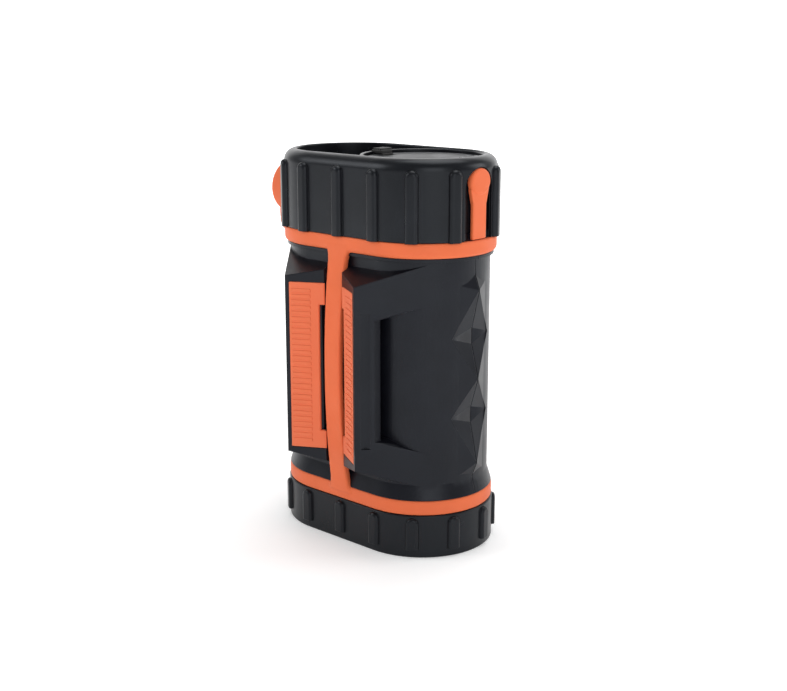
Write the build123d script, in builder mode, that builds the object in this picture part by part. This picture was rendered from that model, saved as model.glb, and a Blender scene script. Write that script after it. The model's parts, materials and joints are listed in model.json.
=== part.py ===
"""Jump starter pack: a stadium-section housing between base cup and ribbed cap, in a rubber harness."""

import os
from math import acos, atan2, copysign, cos, degrees, hypot, pi, radians, sin, tan

from build123d import *

# Millimetres. X runs along the housing, the front face looks to -Y, and Z = 0 is the underside of the base.

# Housing section and heights
end_spacing = 42.0  # between the centres of the two round ends
height = 180.0
body_radius = 30.9
wall = 2.2
base_height = 20.2
cap_height = 35.8
band_width = 7.0
fit_gap = 0.3  # between pieces that slide together once
slip = 0.1  # between pieces that are pressed home or lie against each other
end_x = end_spacing / 2
body_end = end_x + body_radius
cap_low = height - cap_height
middle_z = (base_height + cap_low) / 2
bore_radius = body_radius + fit_gap
inner_radius = body_radius - wall

# Base cup
base_wall = 2.4
base_radius = bore_radius + base_wall
base_floor = 3.0
base_edge = 0.8
base_rib_first = end_x + 0.7  # along the wall from the middle rib
base_rib_count = 15
base_rib_proud = 1.6
base_rib_low, base_rib_high = 4.0, base_height - 1.0
rib_width = 6.0
rib_round = 1.4

# Cap
cap_wall = 2.2
cap_radius = bore_radius + cap_wall
cap_round = 5.4
cap_rib_proud = 2.1
cap_rib_high = height - 4.6
cap_rib_runs = (end_x + 0.5, end_x + 19.2, end_x + 38.2)  # along the wall from the front middle
rim_width = 6.1
recess_radius = cap_radius - rim_width
deck_low, deck_thickness = height - 16.0, 2.0
deck_high = deck_low + deck_thickness
cap_overlap = 3.0  # of the shells inside the cap
collar_wall = 1.6
collar_high = height - 0.6

# Shells
part_gap = 0.15  # each shell stops this far from the parting plane
lip_proud, lip_height = 1.5, 1.5
flare_proud, flare_height = 2.1, 6.8
keel_proud = 2.6
keel_angle = 66.0  # where the keel planes leave the round end, from the front
keel_peaks = [middle_z + rise for rise in (-40.4, -0.7, 39.8)]
keel_valleys = [middle_z - 47.2, (middle_z - 21.4, middle_z - 14.6), (middle_z + 14.4, middle_z + 22.7),
                middle_z + 47.3]
boss_radius, boss_inset = 3.2, 10.9
boss_heights = (12.0, cap_low - 3.5)
screw_seat = 16.5  # of the screws that join the shells, behind the parting plane
screw_reach = 12.0  # of the same screws, in front of it
boss_length = 20.0

# Harness
band_proud_upper, band_proud_lower = 2.6, 2.3
band_round = 1.2
strap_width, strap_thickness = 10.2, 2.3
strap_bulge = -(body_radius + 7.5)
strap_end = -(body_radius + 3.0)
strap_low, strap_high = base_height + 3.8, cap_low - 4.2
strap_side_gap = 0.6

# Grip bars
corner_x, corner_y = end_x + 0.7, -(body_radius + 15.0)
slope_depth = 9.2  # from the corner in to the strap's channel
grip_low, grip_high = middle_z - 40.4, middle_z + 43.1
shoulder_slope = 20.8
bar_back = -(body_radius + 4.4)
bar_side = end_x + 6.6
passage_low, passage_high = middle_z - 27.1, middle_z + 28.1
passage_flare = 22.0  # degrees, the side opening's ends
slot_half, slot_low, slot_high = 7.8, passage_low - 2.1, passage_high + 2.0
groove_near, groove_far, groove_depth = 2.6, 7.4, 1.6
groove_low, groove_high = middle_z - 30.4, middle_z + 31.4
pad_border, pad_depth, pad_proud = 2.3, 1.3, 0.3
pad_low, pad_high = grip_low + 2.4, grip_high - 2.7

# Dust covers
cutout_depth = 2.7
cutout_floor = end_x + cap_radius - cutout_depth
backing = 1.9
small_strap_width, small_strap_thickness = 9.2, 1.9
small_strap_outer = body_end + 2.1
small_head_width, small_head_height, small_head_z = 13.4, 11.8, height - 10.4
small_head_outer = body_end + 2.9
small_cutout_half, small_cutout_centre = 9.2, small_head_z - 3.0
small_backing_half, large_backing_half = 12.0, 14.0
large_head_radius, large_head_z = 13.0, height - 21.3
large_head_outer = body_end + 14.9
large_cutout_half = large_head_radius + 0.8
large_strap_width, large_strap_thickness, large_strap_lift = 14.0, 2.8, 0.2
large_root = body_end + 4.1

# Jump lead socket
socket_radius, socket_out = 10.5, body_end + 9.6
socket_flange = cutout_floor - backing - 0.4
socket_edge = 0.8
socket_depth, socket_half_width, socket_foot = 4.9, 9.5, 8.2
contact_spacing, contact_radius, contact_bore = 10.4, 2.5, 1.9
contact_tail = socket_flange - 9.4
contact_recess = 1.0
contact_depth = 16.0

# Charging socket
jack_hole_radius = 4.25
jack_size = (12.0, 9.0, 7.4)
jack_inset = 3.5
jack_near = cutout_floor - jack_inset - jack_size[0]
jack_bore, jack_bore_floor = 2.9, 2.0
jack_pin, jack_pin_length = 1.05, 9.0
jack_block_half = 7.0
jack_block_near, jack_block_high = jack_near - 2.2, small_head_z + 4.6

# Port lid
lid_radius, lid_thickness, lid_top = recess_radius - 1.3, 2.6, height - 2.0
lid_gap = 0.7
lid_edge = 0.5
lid_low = lid_top - lid_thickness
lid_well = lid_radius + lid_gap
window_step = 1.5  # ledge that carries the port plate
hinge_x, hinge_z = end_x + lid_radius - 0.1, height - 1.1
hinge_depth = 1.9
knuckle_radius, knuckle_half, knuckle_root = 1.1, 3.1, 2.4
pin_radius, pin_half, pin_clearance = 0.55, 5.4, 0.05
ear_gap, ear_over = 0.3, 0.2
seal_inner, seal_outer, seal_thickness = lid_radius - 4.8, lid_radius - 3.4, 0.8
spring_post_x, spring_post_half = (end_x - lid_radius + 11.2, end_x - lid_radius + 12.4), 2.5

# Lid catch, placed from the lid's left edge
latch_travel = 2.0
catch_x = end_x - lid_radius
catch_pad = (catch_x - 1.8, catch_x + 4.0)
catch_half = 4.0
catch_web = (catch_x + 1.9, catch_x + 4.7)
catch_web_half = 3.4
catch_play = 0.15  # between the catch and the lid's two faces
catch_slot = (catch_web[0] - 0.1, catch_web[1] + latch_travel + 0.2)
catch_tongue = (catch_x + 0.2, catch_x + 6.0)
catch_tongue_half, catch_tongue_thickness = 5.0, 1.05
catch_post = (catch_tongue[1] - 1.0, catch_tongue[1])
catch_post_half = 2.0
catch_drop = 2.8  # of the post and its seat below the lid
grip_ridges, ridge_pitch, ridge_width, ridge_height = 4, 1.4, 0.7, 0.7
spring_radius, spring_wire, spring_pitch, spring_seat_gap = 0.55, 0.12, 0.96, 0.2
notch_half = catch_half + 0.7

# Ports and button
port_plate_thickness = 1.6
port_top = deck_high + port_plate_thickness
port_plate_side = end_x + 8.5
board_z, board_thickness = deck_low - 7.0, 1.6
board_high = board_z + board_thickness
board_low_corner, board_high_corner = (end_x - 22.0, -15.0), (end_x + 9.0, 15.0)
usb_places = ((catch_x + 11.0, -9.0), (catch_x + 11.0, 9.0))
usb_size, usb_mouth, usb_tongue = (7.0, 14.5), (4.4, 12.4), (1.8, 10.4)
usb_proud, usb_floor = 0.4, 1.0
small_port_place, small_port_size, small_port_shell = (end_x - 5.0, -9.0), (9.2, 3.5), 0.4
small_port_proud, small_tongue = 0.2, (0.8, 6.4)
window_gap = 0.2
light_places = [(end_x + 5.5, y) for y in (-12.0, -8.0, -4.0)]
light_radius, light_proud = 1.0, 0.3
button_x, button_y, button_radius, button_travel = end_x, 7.0, 5.5, 0.8
button_clearance, button_flange, button_flange_thickness = 0.2, 1.0, 1.1
button_sunk, button_length, button_edge = 1.0, 4.2, 0.7
plunger_radius, plunger_gap = 1.5, 0.9
switch_half, switch_height, switch_stem, switch_stem_height = 3.0, 3.4, 1.6, 1.1
standoff_radius, standoff_inset = 2.0, 2.5

# Torch
torch_x = 0.3 - (recess_radius + lid_well + collar_wall) / 2  # between the collar and the recess's end
lens_radius, lens_thickness = 15.2, 2.4
torch_hole_radius = lens_radius - 1.2
seal_step = 0.5
lens_low = deck_high + seal_step
bezel_width, bezel_high, bezel_lip = 1.4, 3.7, 1.0
reflector_wall, reflector_waist, reflector_rim = 0.8, 5.4, 1.2
lamp_z = deck_low - 12.8
lamp_board_radius, lamp_board_thickness, lamp_half, lamp_height = 9.0, 1.6, 1.8, 0.7
fin_radius, fin_core, fin_count, fin_pitch, fin_thickness = 9.5, 4.0, 4, 2.8, 1.4

# Battery
cell_count = 4
cell_size = (62.0, 9.0, 108.0)
cell_pitch = 9.6
cell_low = 18.0
cell_edge = 2.0
cell_top = cell_low + cell_size[2]
stack_y = [(k - (cell_count - 1) / 2) * cell_pitch for k in range(cell_count)]
stack_half = stack_y[-1] + cell_size[1] / 2
tab_x, tab_width, tab_height, tab_thickness = 15.0, 10.0, 6.0, 0.3
link_rise, link_thickness = 2.0, 1.0
foam_half_width, foam_inset, foam_side_inset = cell_size[0] / 2 - 3.0, 4.0, 1.0
tray_wall, tray_gap, tray_floor, tray_high = 1.6, 1.0, 2.2, cell_low + 16.0
tray_half_x, tray_half_y = cell_size[0] / 2 + tray_gap, stack_half + tray_gap
frame_low, frame_plate, frame_thickness = cell_top - 8.0, cell_top + 7.0, 2.4
plate_high = frame_plate + frame_thickness
post_radius = 3.0
cap_post = (end_x + 12.5, recess_radius - 7.5)
base_post = (end_x + 5.0, stack_half - 4.9)
cable_radius, cable_hole = 2.2, 2.6
cable_run_z = deck_low - 17.0

# Power board beside the cells
board_half_width, power_low, power_high = 17.0, 22.0, cell_top + 2.0
transistor_size, transistor_y = (4.5, 10.0, 15.0), 7.0
transistor_heights = [cell_low + rise for rise in (32.0, 54.0, 76.0)]
sink_half_width, sink_low, sink_high = 12.5, cell_low + 24.0, cell_low + 84.0
sink_base, fin_depth, fin_half = 1.4, 3.0, 0.6
fin_places = (-11.9, -7.1, -2.4, 2.4, 7.1, 11.9)
capacitor_radius, capacitor_length, capacitor_y = 4.0, 8.5, 8.0
capacitor_heights = (cell_low + 12.0, cell_low + 97.0)

# M3 screws
screw_radius, screw_hole, screw_pilot = 1.45, 1.6, 1.5
head_radius, head_height, head_gap = 2.75, 1.6, 0.25
driver_radius, driver_depth = 1.1, 1.0
cap_screw_length, base_screw_length = 12.0, 9.0

# Worked out from the above
upper_band_low = cap_low - band_width
lower_band_high = base_height + band_width
shell_top = cap_low + cap_overlap
face_line = corner_x - (strap_width / 2 + strap_side_gap)
slope = atan2(slope_depth, face_line)
boss_x = body_end - boss_inset


def stadium_prism(radius, low, high, mode=Mode.ADD, taper=0):
    """Add or cut the housing's section, two half circles joined by flats, between two heights."""
    with BuildSketch(Plane.XY.offset(low)) as section:
        SlotCenterToCenter(end_spacing, 2 * radius)
    extrude(section.sketch, amount=high - low, taper=taper, mode=mode)


def round_bar(start, radius, length, direction=(0, 0, 1), mode=Mode.ADD):
    """Add or cut a cylinder from a start point along a direction."""
    with BuildSketch(Plane(origin=start, z_dir=direction)) as section:
        Circle(radius)
    extrude(section.sketch, amount=length, mode=mode)


def block(low, high, mode=Mode.ADD):
    """Add or cut a box between any two opposite corners."""
    size = [abs(h - l) for l, h in zip(low, high)]
    with Locations(tuple((l + h) / 2 for l, h in zip(low, high))):
        Box(*size, mode=mode)


def outline_prism(plane, points, amount, both=False, mode=Mode.ADD):
    """Add or cut a prism on a closed outline drawn on a plane."""
    with BuildSketch(plane) as section:
        with BuildLine():
            Polyline(*points, close=True)
        make_face()
    extrude(section.sketch, amount=amount, both=both, mode=mode)


def wall_place(run, radius):
    """Place on a stadium wall, a run to the right of the front middle, with -Y pointing out."""
    side, run = copysign(1, run), abs(run)
    if run <= end_x:
        x, y, turn = run, -radius, 0
    elif run <= end_x + pi * radius:
        turn = (run - end_x) / radius
        x, y = end_x + radius * sin(turn), -radius * cos(turn)
    else:
        x, y, turn = end_spacing + pi * radius - run, radius, pi
    return Location((side * x, y, 0), (0, 0, side * degrees(turn)))


def rib(place, proud, low, high, round_top):
    """Add one moulded grip rib, sunk a little into the wall."""
    sunk = 1.0
    with BuildPart(mode=Mode.PRIVATE) as bar:
        with Locations((0, (sunk - proud) / 2, (low + high) / 2)):
            Box(rib_width, proud + sunk, high - low)
        fillet(bar.edges().filter_by(Axis.Z).group_by(Axis.Y)[0], rib_round)
        if round_top:
            top = bar.faces().sort_by(Axis.Z)[-1].edges()
            fillet(top.group_by(Axis.Y)[0], 0.9 * rib_round)
    add(bar.part.moved(place))


def finish(name, piece):
    """Label a finished piece and write it."""
    piece.label = name
    export_step(piece, f"parts/{name}.step")


os.makedirs("parts", exist_ok=True)

# Base cup: closed floor, ribbed wall, counterbored holes for the screws into the battery tray
base_half_lap = end_spacing + pi * base_radius
base_rib_pitch = (base_half_lap - base_rib_first) / (base_rib_count // 2 - 0.5)
base_rib_runs = [base_rib_first + k * base_rib_pitch for k in range(base_rib_count // 2)]
with BuildPart() as base_cup:
    stadium_prism(base_radius, 0, base_height)
    fillet(base_cup.edges().group_by(Axis.Z)[0], base_edge)
    for run in [0] + base_rib_runs + [-run for run in base_rib_runs]:
        rib(wall_place(run, base_radius), base_rib_proud, base_rib_low, base_rib_high, True)
    stadium_prism(bore_radius, base_floor, base_height, mode=Mode.SUBTRACT)
    with Locations(*[(sx * base_post[0], sy * base_post[1], 0) for sx in (-1, 1) for sy in (-1, 1)]):
        Cylinder(screw_hole, 3 * base_floor, mode=Mode.SUBTRACT)
        Cylinder(head_radius + head_gap, 2 * head_height, mode=Mode.SUBTRACT)
finish("base_cup", base_cup.part)

# Cap: ribbed rim round a deep recess, with a collar round the port well, the torch hole, the charging
# socket's housing and an arched cut-out at each end for the dust covers
cap_half_lap = end_spacing + pi * cap_radius
cap_rib_front = [sign * run for run in cap_rib_runs for sign in (-1, 1)] + [0]
cap_rib_back = [copysign(cap_half_lap - abs(run), run) for run in cap_rib_front]
with BuildPart() as top_cap:
    stadium_prism(cap_radius, cap_low, height)
    fillet(top_cap.edges().group_by(Axis.Z)[-1], cap_round)
    for run in cap_rib_front + cap_rib_back:
        rib(wall_place(run, cap_radius), cap_rib_proud, cap_low, cap_rib_high, True)
    stadium_prism(recess_radius, deck_high, height, mode=Mode.SUBTRACT)
    stadium_prism(bore_radius, cap_low, deck_low, mode=Mode.SUBTRACT)
    with Locations((end_x, 0, (deck_high + collar_high) / 2)):
        Cylinder(lid_well + collar_wall, collar_high - deck_high)
        Cylinder(lid_well, collar_high - deck_high, mode=Mode.SUBTRACT)
    round_bar((torch_x, 0, deck_low), torch_hole_radius, deck_thickness, mode=Mode.SUBTRACT)
    with BuildSketch(Plane.XY.offset(deck_low)) as window:
        with Locations((end_x, 0)):
            Circle(lid_well - window_step)
        with Locations((port_plate_side - window_step, 0)):
            Rectangle(2 * lid_radius, 2 * lid_radius, align=(Align.MIN, Align.CENTER), mode=Mode.SUBTRACT)
    extrude(window.sketch, amount=deck_thickness, mode=Mode.SUBTRACT)
    block((jack_block_near, -jack_block_half, deck_low), (cutout_floor, jack_block_half, jack_block_high))
    backing_low = shell_top + fit_gap
    block(
        (cutout_floor - backing, -small_backing_half, backing_low),
        (cutout_floor, small_backing_half, deck_low),
    )
    block(
        (-cutout_floor, -large_backing_half, backing_low),
        (backing - cutout_floor, large_backing_half, deck_low),
    )
    with BuildSketch(Plane.YZ.offset(cutout_floor)) as small_cutout:
        with Locations((0, small_cutout_centre)):
            Circle(small_cutout_half)
        with Locations((0, (cap_low + small_cutout_centre) / 2)):
            Rectangle(2 * small_cutout_half, small_cutout_centre - cap_low)
    extrude(small_cutout.sketch, amount=2 * cutout_depth, mode=Mode.SUBTRACT)
    with BuildSketch(Plane.YZ.offset(-cutout_floor)) as large_cutout:
        with Locations((0, large_head_z)):
            Circle(large_cutout_half)
        with Locations((0, (cap_low + large_head_z) / 2)):
            Rectangle(2 * large_cutout_half, large_head_z - cap_low)
    extrude(large_cutout.sketch, amount=-2 * cutout_depth, mode=Mode.SUBTRACT)
    round_bar((-socket_flange, 0, large_head_z), socket_radius + slip / 2, 10, (-1, 0, 0), Mode.SUBTRACT)
    block(
        (jack_near - fit_gap, -jack_size[1] / 2 - slip, deck_low),
        (jack_near + jack_size[0], jack_size[1] / 2 + slip, small_head_z + jack_size[2] / 2 + slip),
        mode=Mode.SUBTRACT,
    )
    round_bar((jack_near, 0, small_head_z), jack_hole_radius, 2 * jack_size[0], (1, 0, 0), Mode.SUBTRACT)
    ear_near, ear_far = knuckle_half + ear_gap, pin_half + ear_over
    for side in (-1, 1):
        block((hinge_x, side * ear_near, hinge_z - hinge_depth),
              (end_x + recess_radius + ear_over, side * ear_far, hinge_z + knuckle_radius))
        round_bar((hinge_x, side * ear_near, hinge_z), knuckle_radius, ear_far - ear_near, (0, side, 0))
    block((hinge_x - 1, -ear_near, hinge_z - hinge_depth),
          (end_x + recess_radius - slip / 2, ear_near, height + 1), mode=Mode.SUBTRACT)
    round_bar((hinge_x, -pin_half, hinge_z), pin_radius + slip / 5, 2 * pin_half, (0, 1, 0), Mode.SUBTRACT)
    well_edge = end_x - lid_well
    block((well_edge - 2 * collar_wall, -notch_half, lid_top - 0.6), (well_edge + 2, notch_half, height),
          mode=Mode.SUBTRACT)
    with Locations(*[(sx * cap_post[0], sy * cap_post[1], deck_low) for sx in (-1, 1) for sy in (-1, 1)]):
        Cylinder(screw_hole, 3 * deck_thickness, mode=Mode.SUBTRACT)
finish("top_cap", top_cap.part)

# Front shell: half of the housing with its two grip bars, the passage behind them and the faceted keel
reach = hypot(corner_x - end_x, corner_y)
tangent_turn = acos(body_radius / reach) + atan2(corner_x - end_x, -corner_y)
tangent_point = (end_x + body_radius * sin(tangent_turn), -body_radius * cos(tangent_turn))
face_run = hypot(tangent_point[0] - corner_x, tangent_point[1] - corner_y)
face_dir = ((tangent_point[0] - corner_x) / face_run, (tangent_point[1] - corner_y) / face_run)
face_in = (-face_dir[1], face_dir[0])
slope_dir = (-cos(slope), sin(slope))
slope_out = (-sin(slope), -cos(slope))
channel_half = strap_width / 2 + strap_side_gap
slope_end = (corner_x - channel_half) / cos(slope)


def on_slope(run, out=0.0):
    """Point on the right grip bar's inner slope, a run from its corner, lifted out of the face."""
    return (
        corner_x + run * slope_dir[0] + out * slope_out[0],
        corner_y + run * slope_dir[1] + out * slope_out[1],
    )


def on_face(run, into=0.0):
    """Point on the right grip bar's outer face, a run from its corner, sunk into the face."""
    return (
        corner_x + run * face_dir[0] + into * face_in[0],
        corner_y + run * face_dir[1] + into * face_in[1],
    )


def strap_profile(thickness):
    """Side view of the strap: a long flat arc of one thickness, in the YZ plane."""
    middle = (strap_low + strap_high) / 2
    with BuildSketch(Plane.YZ) as section:
        with BuildLine():
            ThreePointArc((strap_end, strap_low), (strap_bulge, middle), (strap_end, strap_high))
            Line((strap_end, strap_high), (strap_end + thickness, strap_high))
            ThreePointArc(
                (strap_end + thickness, strap_high),
                (strap_bulge + thickness, middle),
                (strap_end + thickness, strap_low),
            )
            Line((strap_end + thickness, strap_low), (strap_end, strap_low))
        make_face()
    return section.sketch


def pad_section(out, into):
    """Section of the right grip pad, between a surface lifted out of the slope and one sunk into it."""
    ends = (pad_border, slope_end - fit_gap)
    return [
        on_slope(ends[0], out),
        on_slope(ends[1], out),
        on_slope(ends[1], -into),
        on_slope(ends[0], -into),
    ]


def keel_peak(peak, below, above):
    """One faceted peak of the keel, down to a valley point on each side and sunk a little into the wall."""
    sunk = 0.25
    root_r = body_radius - sunk
    root_x, root_y = end_x + root_r * sin(radians(keel_angle)), root_r * cos(radians(keel_angle))
    valley_x = body_end - sunk
    tip_low, tip_high = below[1], above[1]
    top = (body_end + keel_proud, 0, peak)
    low, high = (valley_x, 0, below[0]), (valley_x, 0, above[0])
    front_low, front_high = (root_x, -root_y, tip_low), (root_x, -root_y, tip_high)
    back_low, back_high = (root_x, root_y, tip_low), (root_x, root_y, tip_high)
    faces = [
        (top, front_high, front_low), (top, back_low, back_high), (top, high, front_high),
        (top, back_high, high),
        (top, front_low, low), (top, low, back_low), (high, back_high, front_high),
        (low, front_low, back_low),
        (front_low, front_high, back_high, back_low),
    ]
    return Solid(Shell([Face(Wire.make_polygon(list(face))) for face in faces]))


def keel_solids():
    """The keel's three peaks at the right end, as separate solids."""
    first, second, third, last = keel_valleys
    middles = [sum(pair) / 2 for pair in (second, third)]
    return [
        keel_peak(keel_peaks[0], (first, first), (second[0], middles[0])),
        keel_peak(keel_peaks[1], (second[1], middles[0]), (third[0], middles[1])),
        keel_peak(keel_peaks[2], (third[1], middles[1]), (last, last - 4)),
    ]


keel = keel_solids()
grip_outline = [
    (0, strap_bulge + 1), (channel_half, on_slope(slope_end)[1]), (corner_x, corner_y), tangent_point,
    (end_x, -10), (0, -10),
]
with BuildPart() as front_shell:
    for mirrored in (1, -1):
        outline_prism(
            Plane.XY.offset(base_height), [(mirrored * x, y) for x, y in grip_outline], cap_low - base_height
        )
    shoulder_rise = tan(radians(shoulder_slope))
    for edge_z, sign in ((grip_high, 1), (grip_low, -1)):
        outline_prism(
            Plane.YZ,
            [(corner_y - 2, edge_z - sign * 2 * shoulder_rise), (0, edge_z - sign * corner_y * shoulder_rise),
             (0, edge_z + sign * height), (corner_y - 2, edge_z + sign * height)],
            2 * end_spacing, both=True, mode=Mode.SUBTRACT,
        )
    block((-bar_side, bar_back, passage_low), (bar_side, 0, passage_high), mode=Mode.SUBTRACT)
    block((-slot_half, 2 * corner_y, slot_low), (slot_half, 0, slot_high), mode=Mode.SUBTRACT)
    flare_run = body_radius
    flare_rise = flare_run * tan(radians(passage_flare))
    side_opening = [
        (bar_side, passage_low),
        (bar_side + flare_run, passage_low - flare_rise),
        (bar_side + flare_run, passage_high + flare_rise),
        (bar_side, passage_high),
    ]
    for mirrored in (1, -1):
        outline_prism(
            Plane.XZ,
            [(mirrored * x, z) for x, z in side_opening], -2 * corner_y, mode=Mode.SUBTRACT,
        )
        groove_middle = (groove_near + groove_far) / 2
        groove = [on_face(groove_near, -0.5), on_face(groove_near), on_face(groove_middle, groove_depth),
                  on_face(groove_far), on_face(groove_far, -0.5)]
        outline_prism(
            Plane.XY.offset(groove_low), [(mirrored * x, y) for x, y in groove], groove_high - groove_low,
            mode=Mode.SUBTRACT,
        )
        outline_prism(
            Plane.XY.offset(pad_low), [(mirrored * x, y) for x, y in pad_section(1, pad_depth)],
            pad_high - pad_low,
            mode=Mode.SUBTRACT,
        )
    extrude(strap_profile(strap_thickness), amount=channel_half, both=True, mode=Mode.SUBTRACT)
    block((-channel_half, 2 * corner_y, 0), (channel_half, strap_end, height), mode=Mode.SUBTRACT)
    stadium_prism(body_radius, base_floor, shell_top)
    stadium_prism(body_radius + lip_proud, upper_band_low - lip_height, upper_band_low)
    flare_taper = degrees(atan2(flare_proud, flare_height))
    stadium_prism(
        body_radius + flare_proud,
        lower_band_high,
        lower_band_high + flare_height,
        taper=flare_taper,
    )
    for peak in keel:
        add(peak)
        add(mirror(peak, about=Plane.YZ, mode=Mode.PRIVATE))
    extrude(strap_profile(strap_thickness), amount=strap_width / 2 + 2 * slip, both=True, mode=Mode.SUBTRACT)
    stadium_prism(inner_radius, base_floor, shell_top, mode=Mode.SUBTRACT)
    for z in boss_heights:
        for side in (-1, 1):
            round_bar((side * boss_x, 0, z), boss_radius, boss_length, (0, -1, 0))
            round_bar((side * boss_x, 0, z), screw_pilot, screw_reach + 2, (0, -1, 0), Mode.SUBTRACT)
    block((-2 * end_spacing, -part_gap, 0), (2 * end_spacing, 2 * end_spacing, height), mode=Mode.SUBTRACT)
finish("front_shell", front_shell.part)

# Rear shell: the front shell mirrored, with clearance holes and pockets for the screws that join the two
with BuildPart() as rear_shell:
    add(mirror(front_shell.part, about=Plane.XZ, mode=Mode.PRIVATE))
    for z in boss_heights:
        for side in (-1, 1):
            round_bar((side * boss_x, 0, z), screw_hole, body_radius, (0, 1, 0), Mode.SUBTRACT)
            round_bar(
                (side * boss_x, screw_seat, z),
                head_radius + head_gap,
                body_radius,
                (0, 1, 0),
                Mode.SUBTRACT,
            )
finish("rear_shell", rear_shell.part)

# Grip pads: one rubber inlay on each slope, cut round the slot beside the strap
with BuildPart() as grip_pad:
    outline_prism(Plane.XY.offset(pad_low), pad_section(pad_proud, pad_depth), pad_high - pad_low)
    block((0, 2 * corner_y, slot_low), (slot_half, 0, slot_high), mode=Mode.SUBTRACT)
pad_left = mirror(grip_pad.part, about=Plane.YZ)
finish("grip_pad_front_right", grip_pad.part)
finish("grip_pad_front_left", pad_left)
finish("grip_pad_rear_right", mirror(grip_pad.part, about=Plane.XZ))
finish("grip_pad_rear_left", mirror(pad_left, about=Plane.XZ))

# Harness: two bands round the housing, a strap down the front and one down the back
cover_low = upper_band_low + large_strap_lift
cover_high = cover_low + large_strap_thickness + 0.4
with BuildPart() as harness:
    stadium_prism(body_radius + band_proud_upper, upper_band_low, cap_low)
    fillet(harness.edges().group_by(Axis.Z)[0], band_round)
    stadium_prism(body_radius + band_proud_lower, base_height, lower_band_high)
    block(
        (fit_gap - large_root, -large_strap_width / 2, cover_low),
        (-body_end, large_strap_width / 2, cover_high),
    )
    for band_low, band_high in ((upper_band_low, cap_low), (base_height, lower_band_high)):
        stadium_prism(body_radius + slip, band_low, band_high, mode=Mode.SUBTRACT)
    strap = extrude(strap_profile(strap_thickness), amount=strap_width / 2, both=True)
    mirror(strap, about=Plane.XZ)
    for band_low, band_high in ((upper_band_low - lip_height, cap_low), (base_height, lower_band_high)):
        stadium_prism(body_radius + slip, band_low, band_high, mode=Mode.SUBTRACT)
finish("harness", harness.part)

# Small dust cover: a tongue from the upper band with an oval head that plugs the charging socket
head_back = cutout_floor + 2 * slip
with BuildPart() as charge_cover:
    block((small_strap_outer - small_strap_thickness, -small_strap_width / 2, cap_low + fit_gap),
          (small_strap_outer, small_strap_width / 2, small_head_z))
    with BuildSketch(Plane.YZ.offset(head_back)) as head:
        with Locations((0, small_head_z)):
            Ellipse(small_head_width / 2, small_head_height / 2)
    extrude(head.sketch, amount=small_head_outer - head_back)
    round_bar((head_back + slip, 0, small_head_z), jack_hole_radius - 0.65, 2.6, (-1, 0, 0))
finish("charge_cover", charge_cover.part)

# Large dust cover: a bowed strap with a round cup over the jump lead socket
skirt_end = socket_out - 3
cup_floor = large_head_outer - 3.8
strap_far, strap_near = -large_head_outer, large_strap_thickness - large_head_outer
strap_top = large_head_z - 8
large_strap = [
    (-large_root, cover_low),
    (strap_near, cover_low),
    (strap_far, cover_low + 4),
    (strap_far, strap_top),
    (strap_near, strap_top),
    (strap_near, cover_high + 2),
    (strap_near + 1.4, cover_high),
    (-large_root, cover_high),
]
with BuildPart() as jump_cover:
    round_bar(
        (-large_head_outer, 0, large_head_z),
        large_head_radius,
        large_head_outer - skirt_end,
        (1, 0, 0),
    )
    round_bar((-cup_floor, 0, large_head_z), socket_radius + 0.7, 20, (1, 0, 0), Mode.SUBTRACT)
    outline_prism(Plane.XZ, large_strap, large_strap_width / 2, both=True)
finish("jump_cover", jump_cover.part)

# Jump lead socket: a round boss outside the cap, a body inside it and two turned contacts
with BuildPart() as jump_socket:
    round_bar((-socket_flange, 0, large_head_z), socket_radius, socket_out - socket_flange, (-1, 0, 0))
    chamfer(jump_socket.edges().group_by(Axis.X)[0], socket_edge)
    block((-socket_flange, -socket_half_width, large_head_z - socket_foot),
          (socket_depth - socket_flange, socket_half_width, deck_low - fit_gap))
    for side in (-1, 1):
        contact_place = (-socket_out, side * contact_spacing / 2, large_head_z)
        round_bar(contact_place, contact_radius + slip / 2, 2 * contact_depth, (1, 0, 0), Mode.SUBTRACT)
finish("jump_socket", jump_socket.part)

contact_face = contact_recess - socket_out
with BuildPart() as jump_contacts:
    for side in (-1, 1):
        contact_place = (contact_face, side * contact_spacing / 2, large_head_z)
        round_bar(contact_place, contact_radius, -contact_face - contact_tail, (1, 0, 0))
        round_bar(contact_place, contact_bore, contact_depth - contact_recess, (1, 0, 0), Mode.SUBTRACT)
finish("jump_contacts", jump_contacts.part)

# Charging socket: a moulded barrel socket with its centre pin
with BuildPart() as charge_socket:
    block((jack_near, -jack_size[1] / 2, small_head_z - jack_size[2] / 2),
          (jack_near + jack_size[0], jack_size[1] / 2, small_head_z + jack_size[2] / 2))
    round_bar(
        (jack_near + jack_bore_floor, 0, small_head_z),
        jack_bore,
        jack_size[0],
        (1, 0, 0),
        Mode.SUBTRACT,
    )
    round_bar((jack_near + jack_bore_floor / 2, 0, small_head_z), jack_pin, jack_pin_length, (1, 0, 0))
finish("charge_socket", charge_socket.part)

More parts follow.
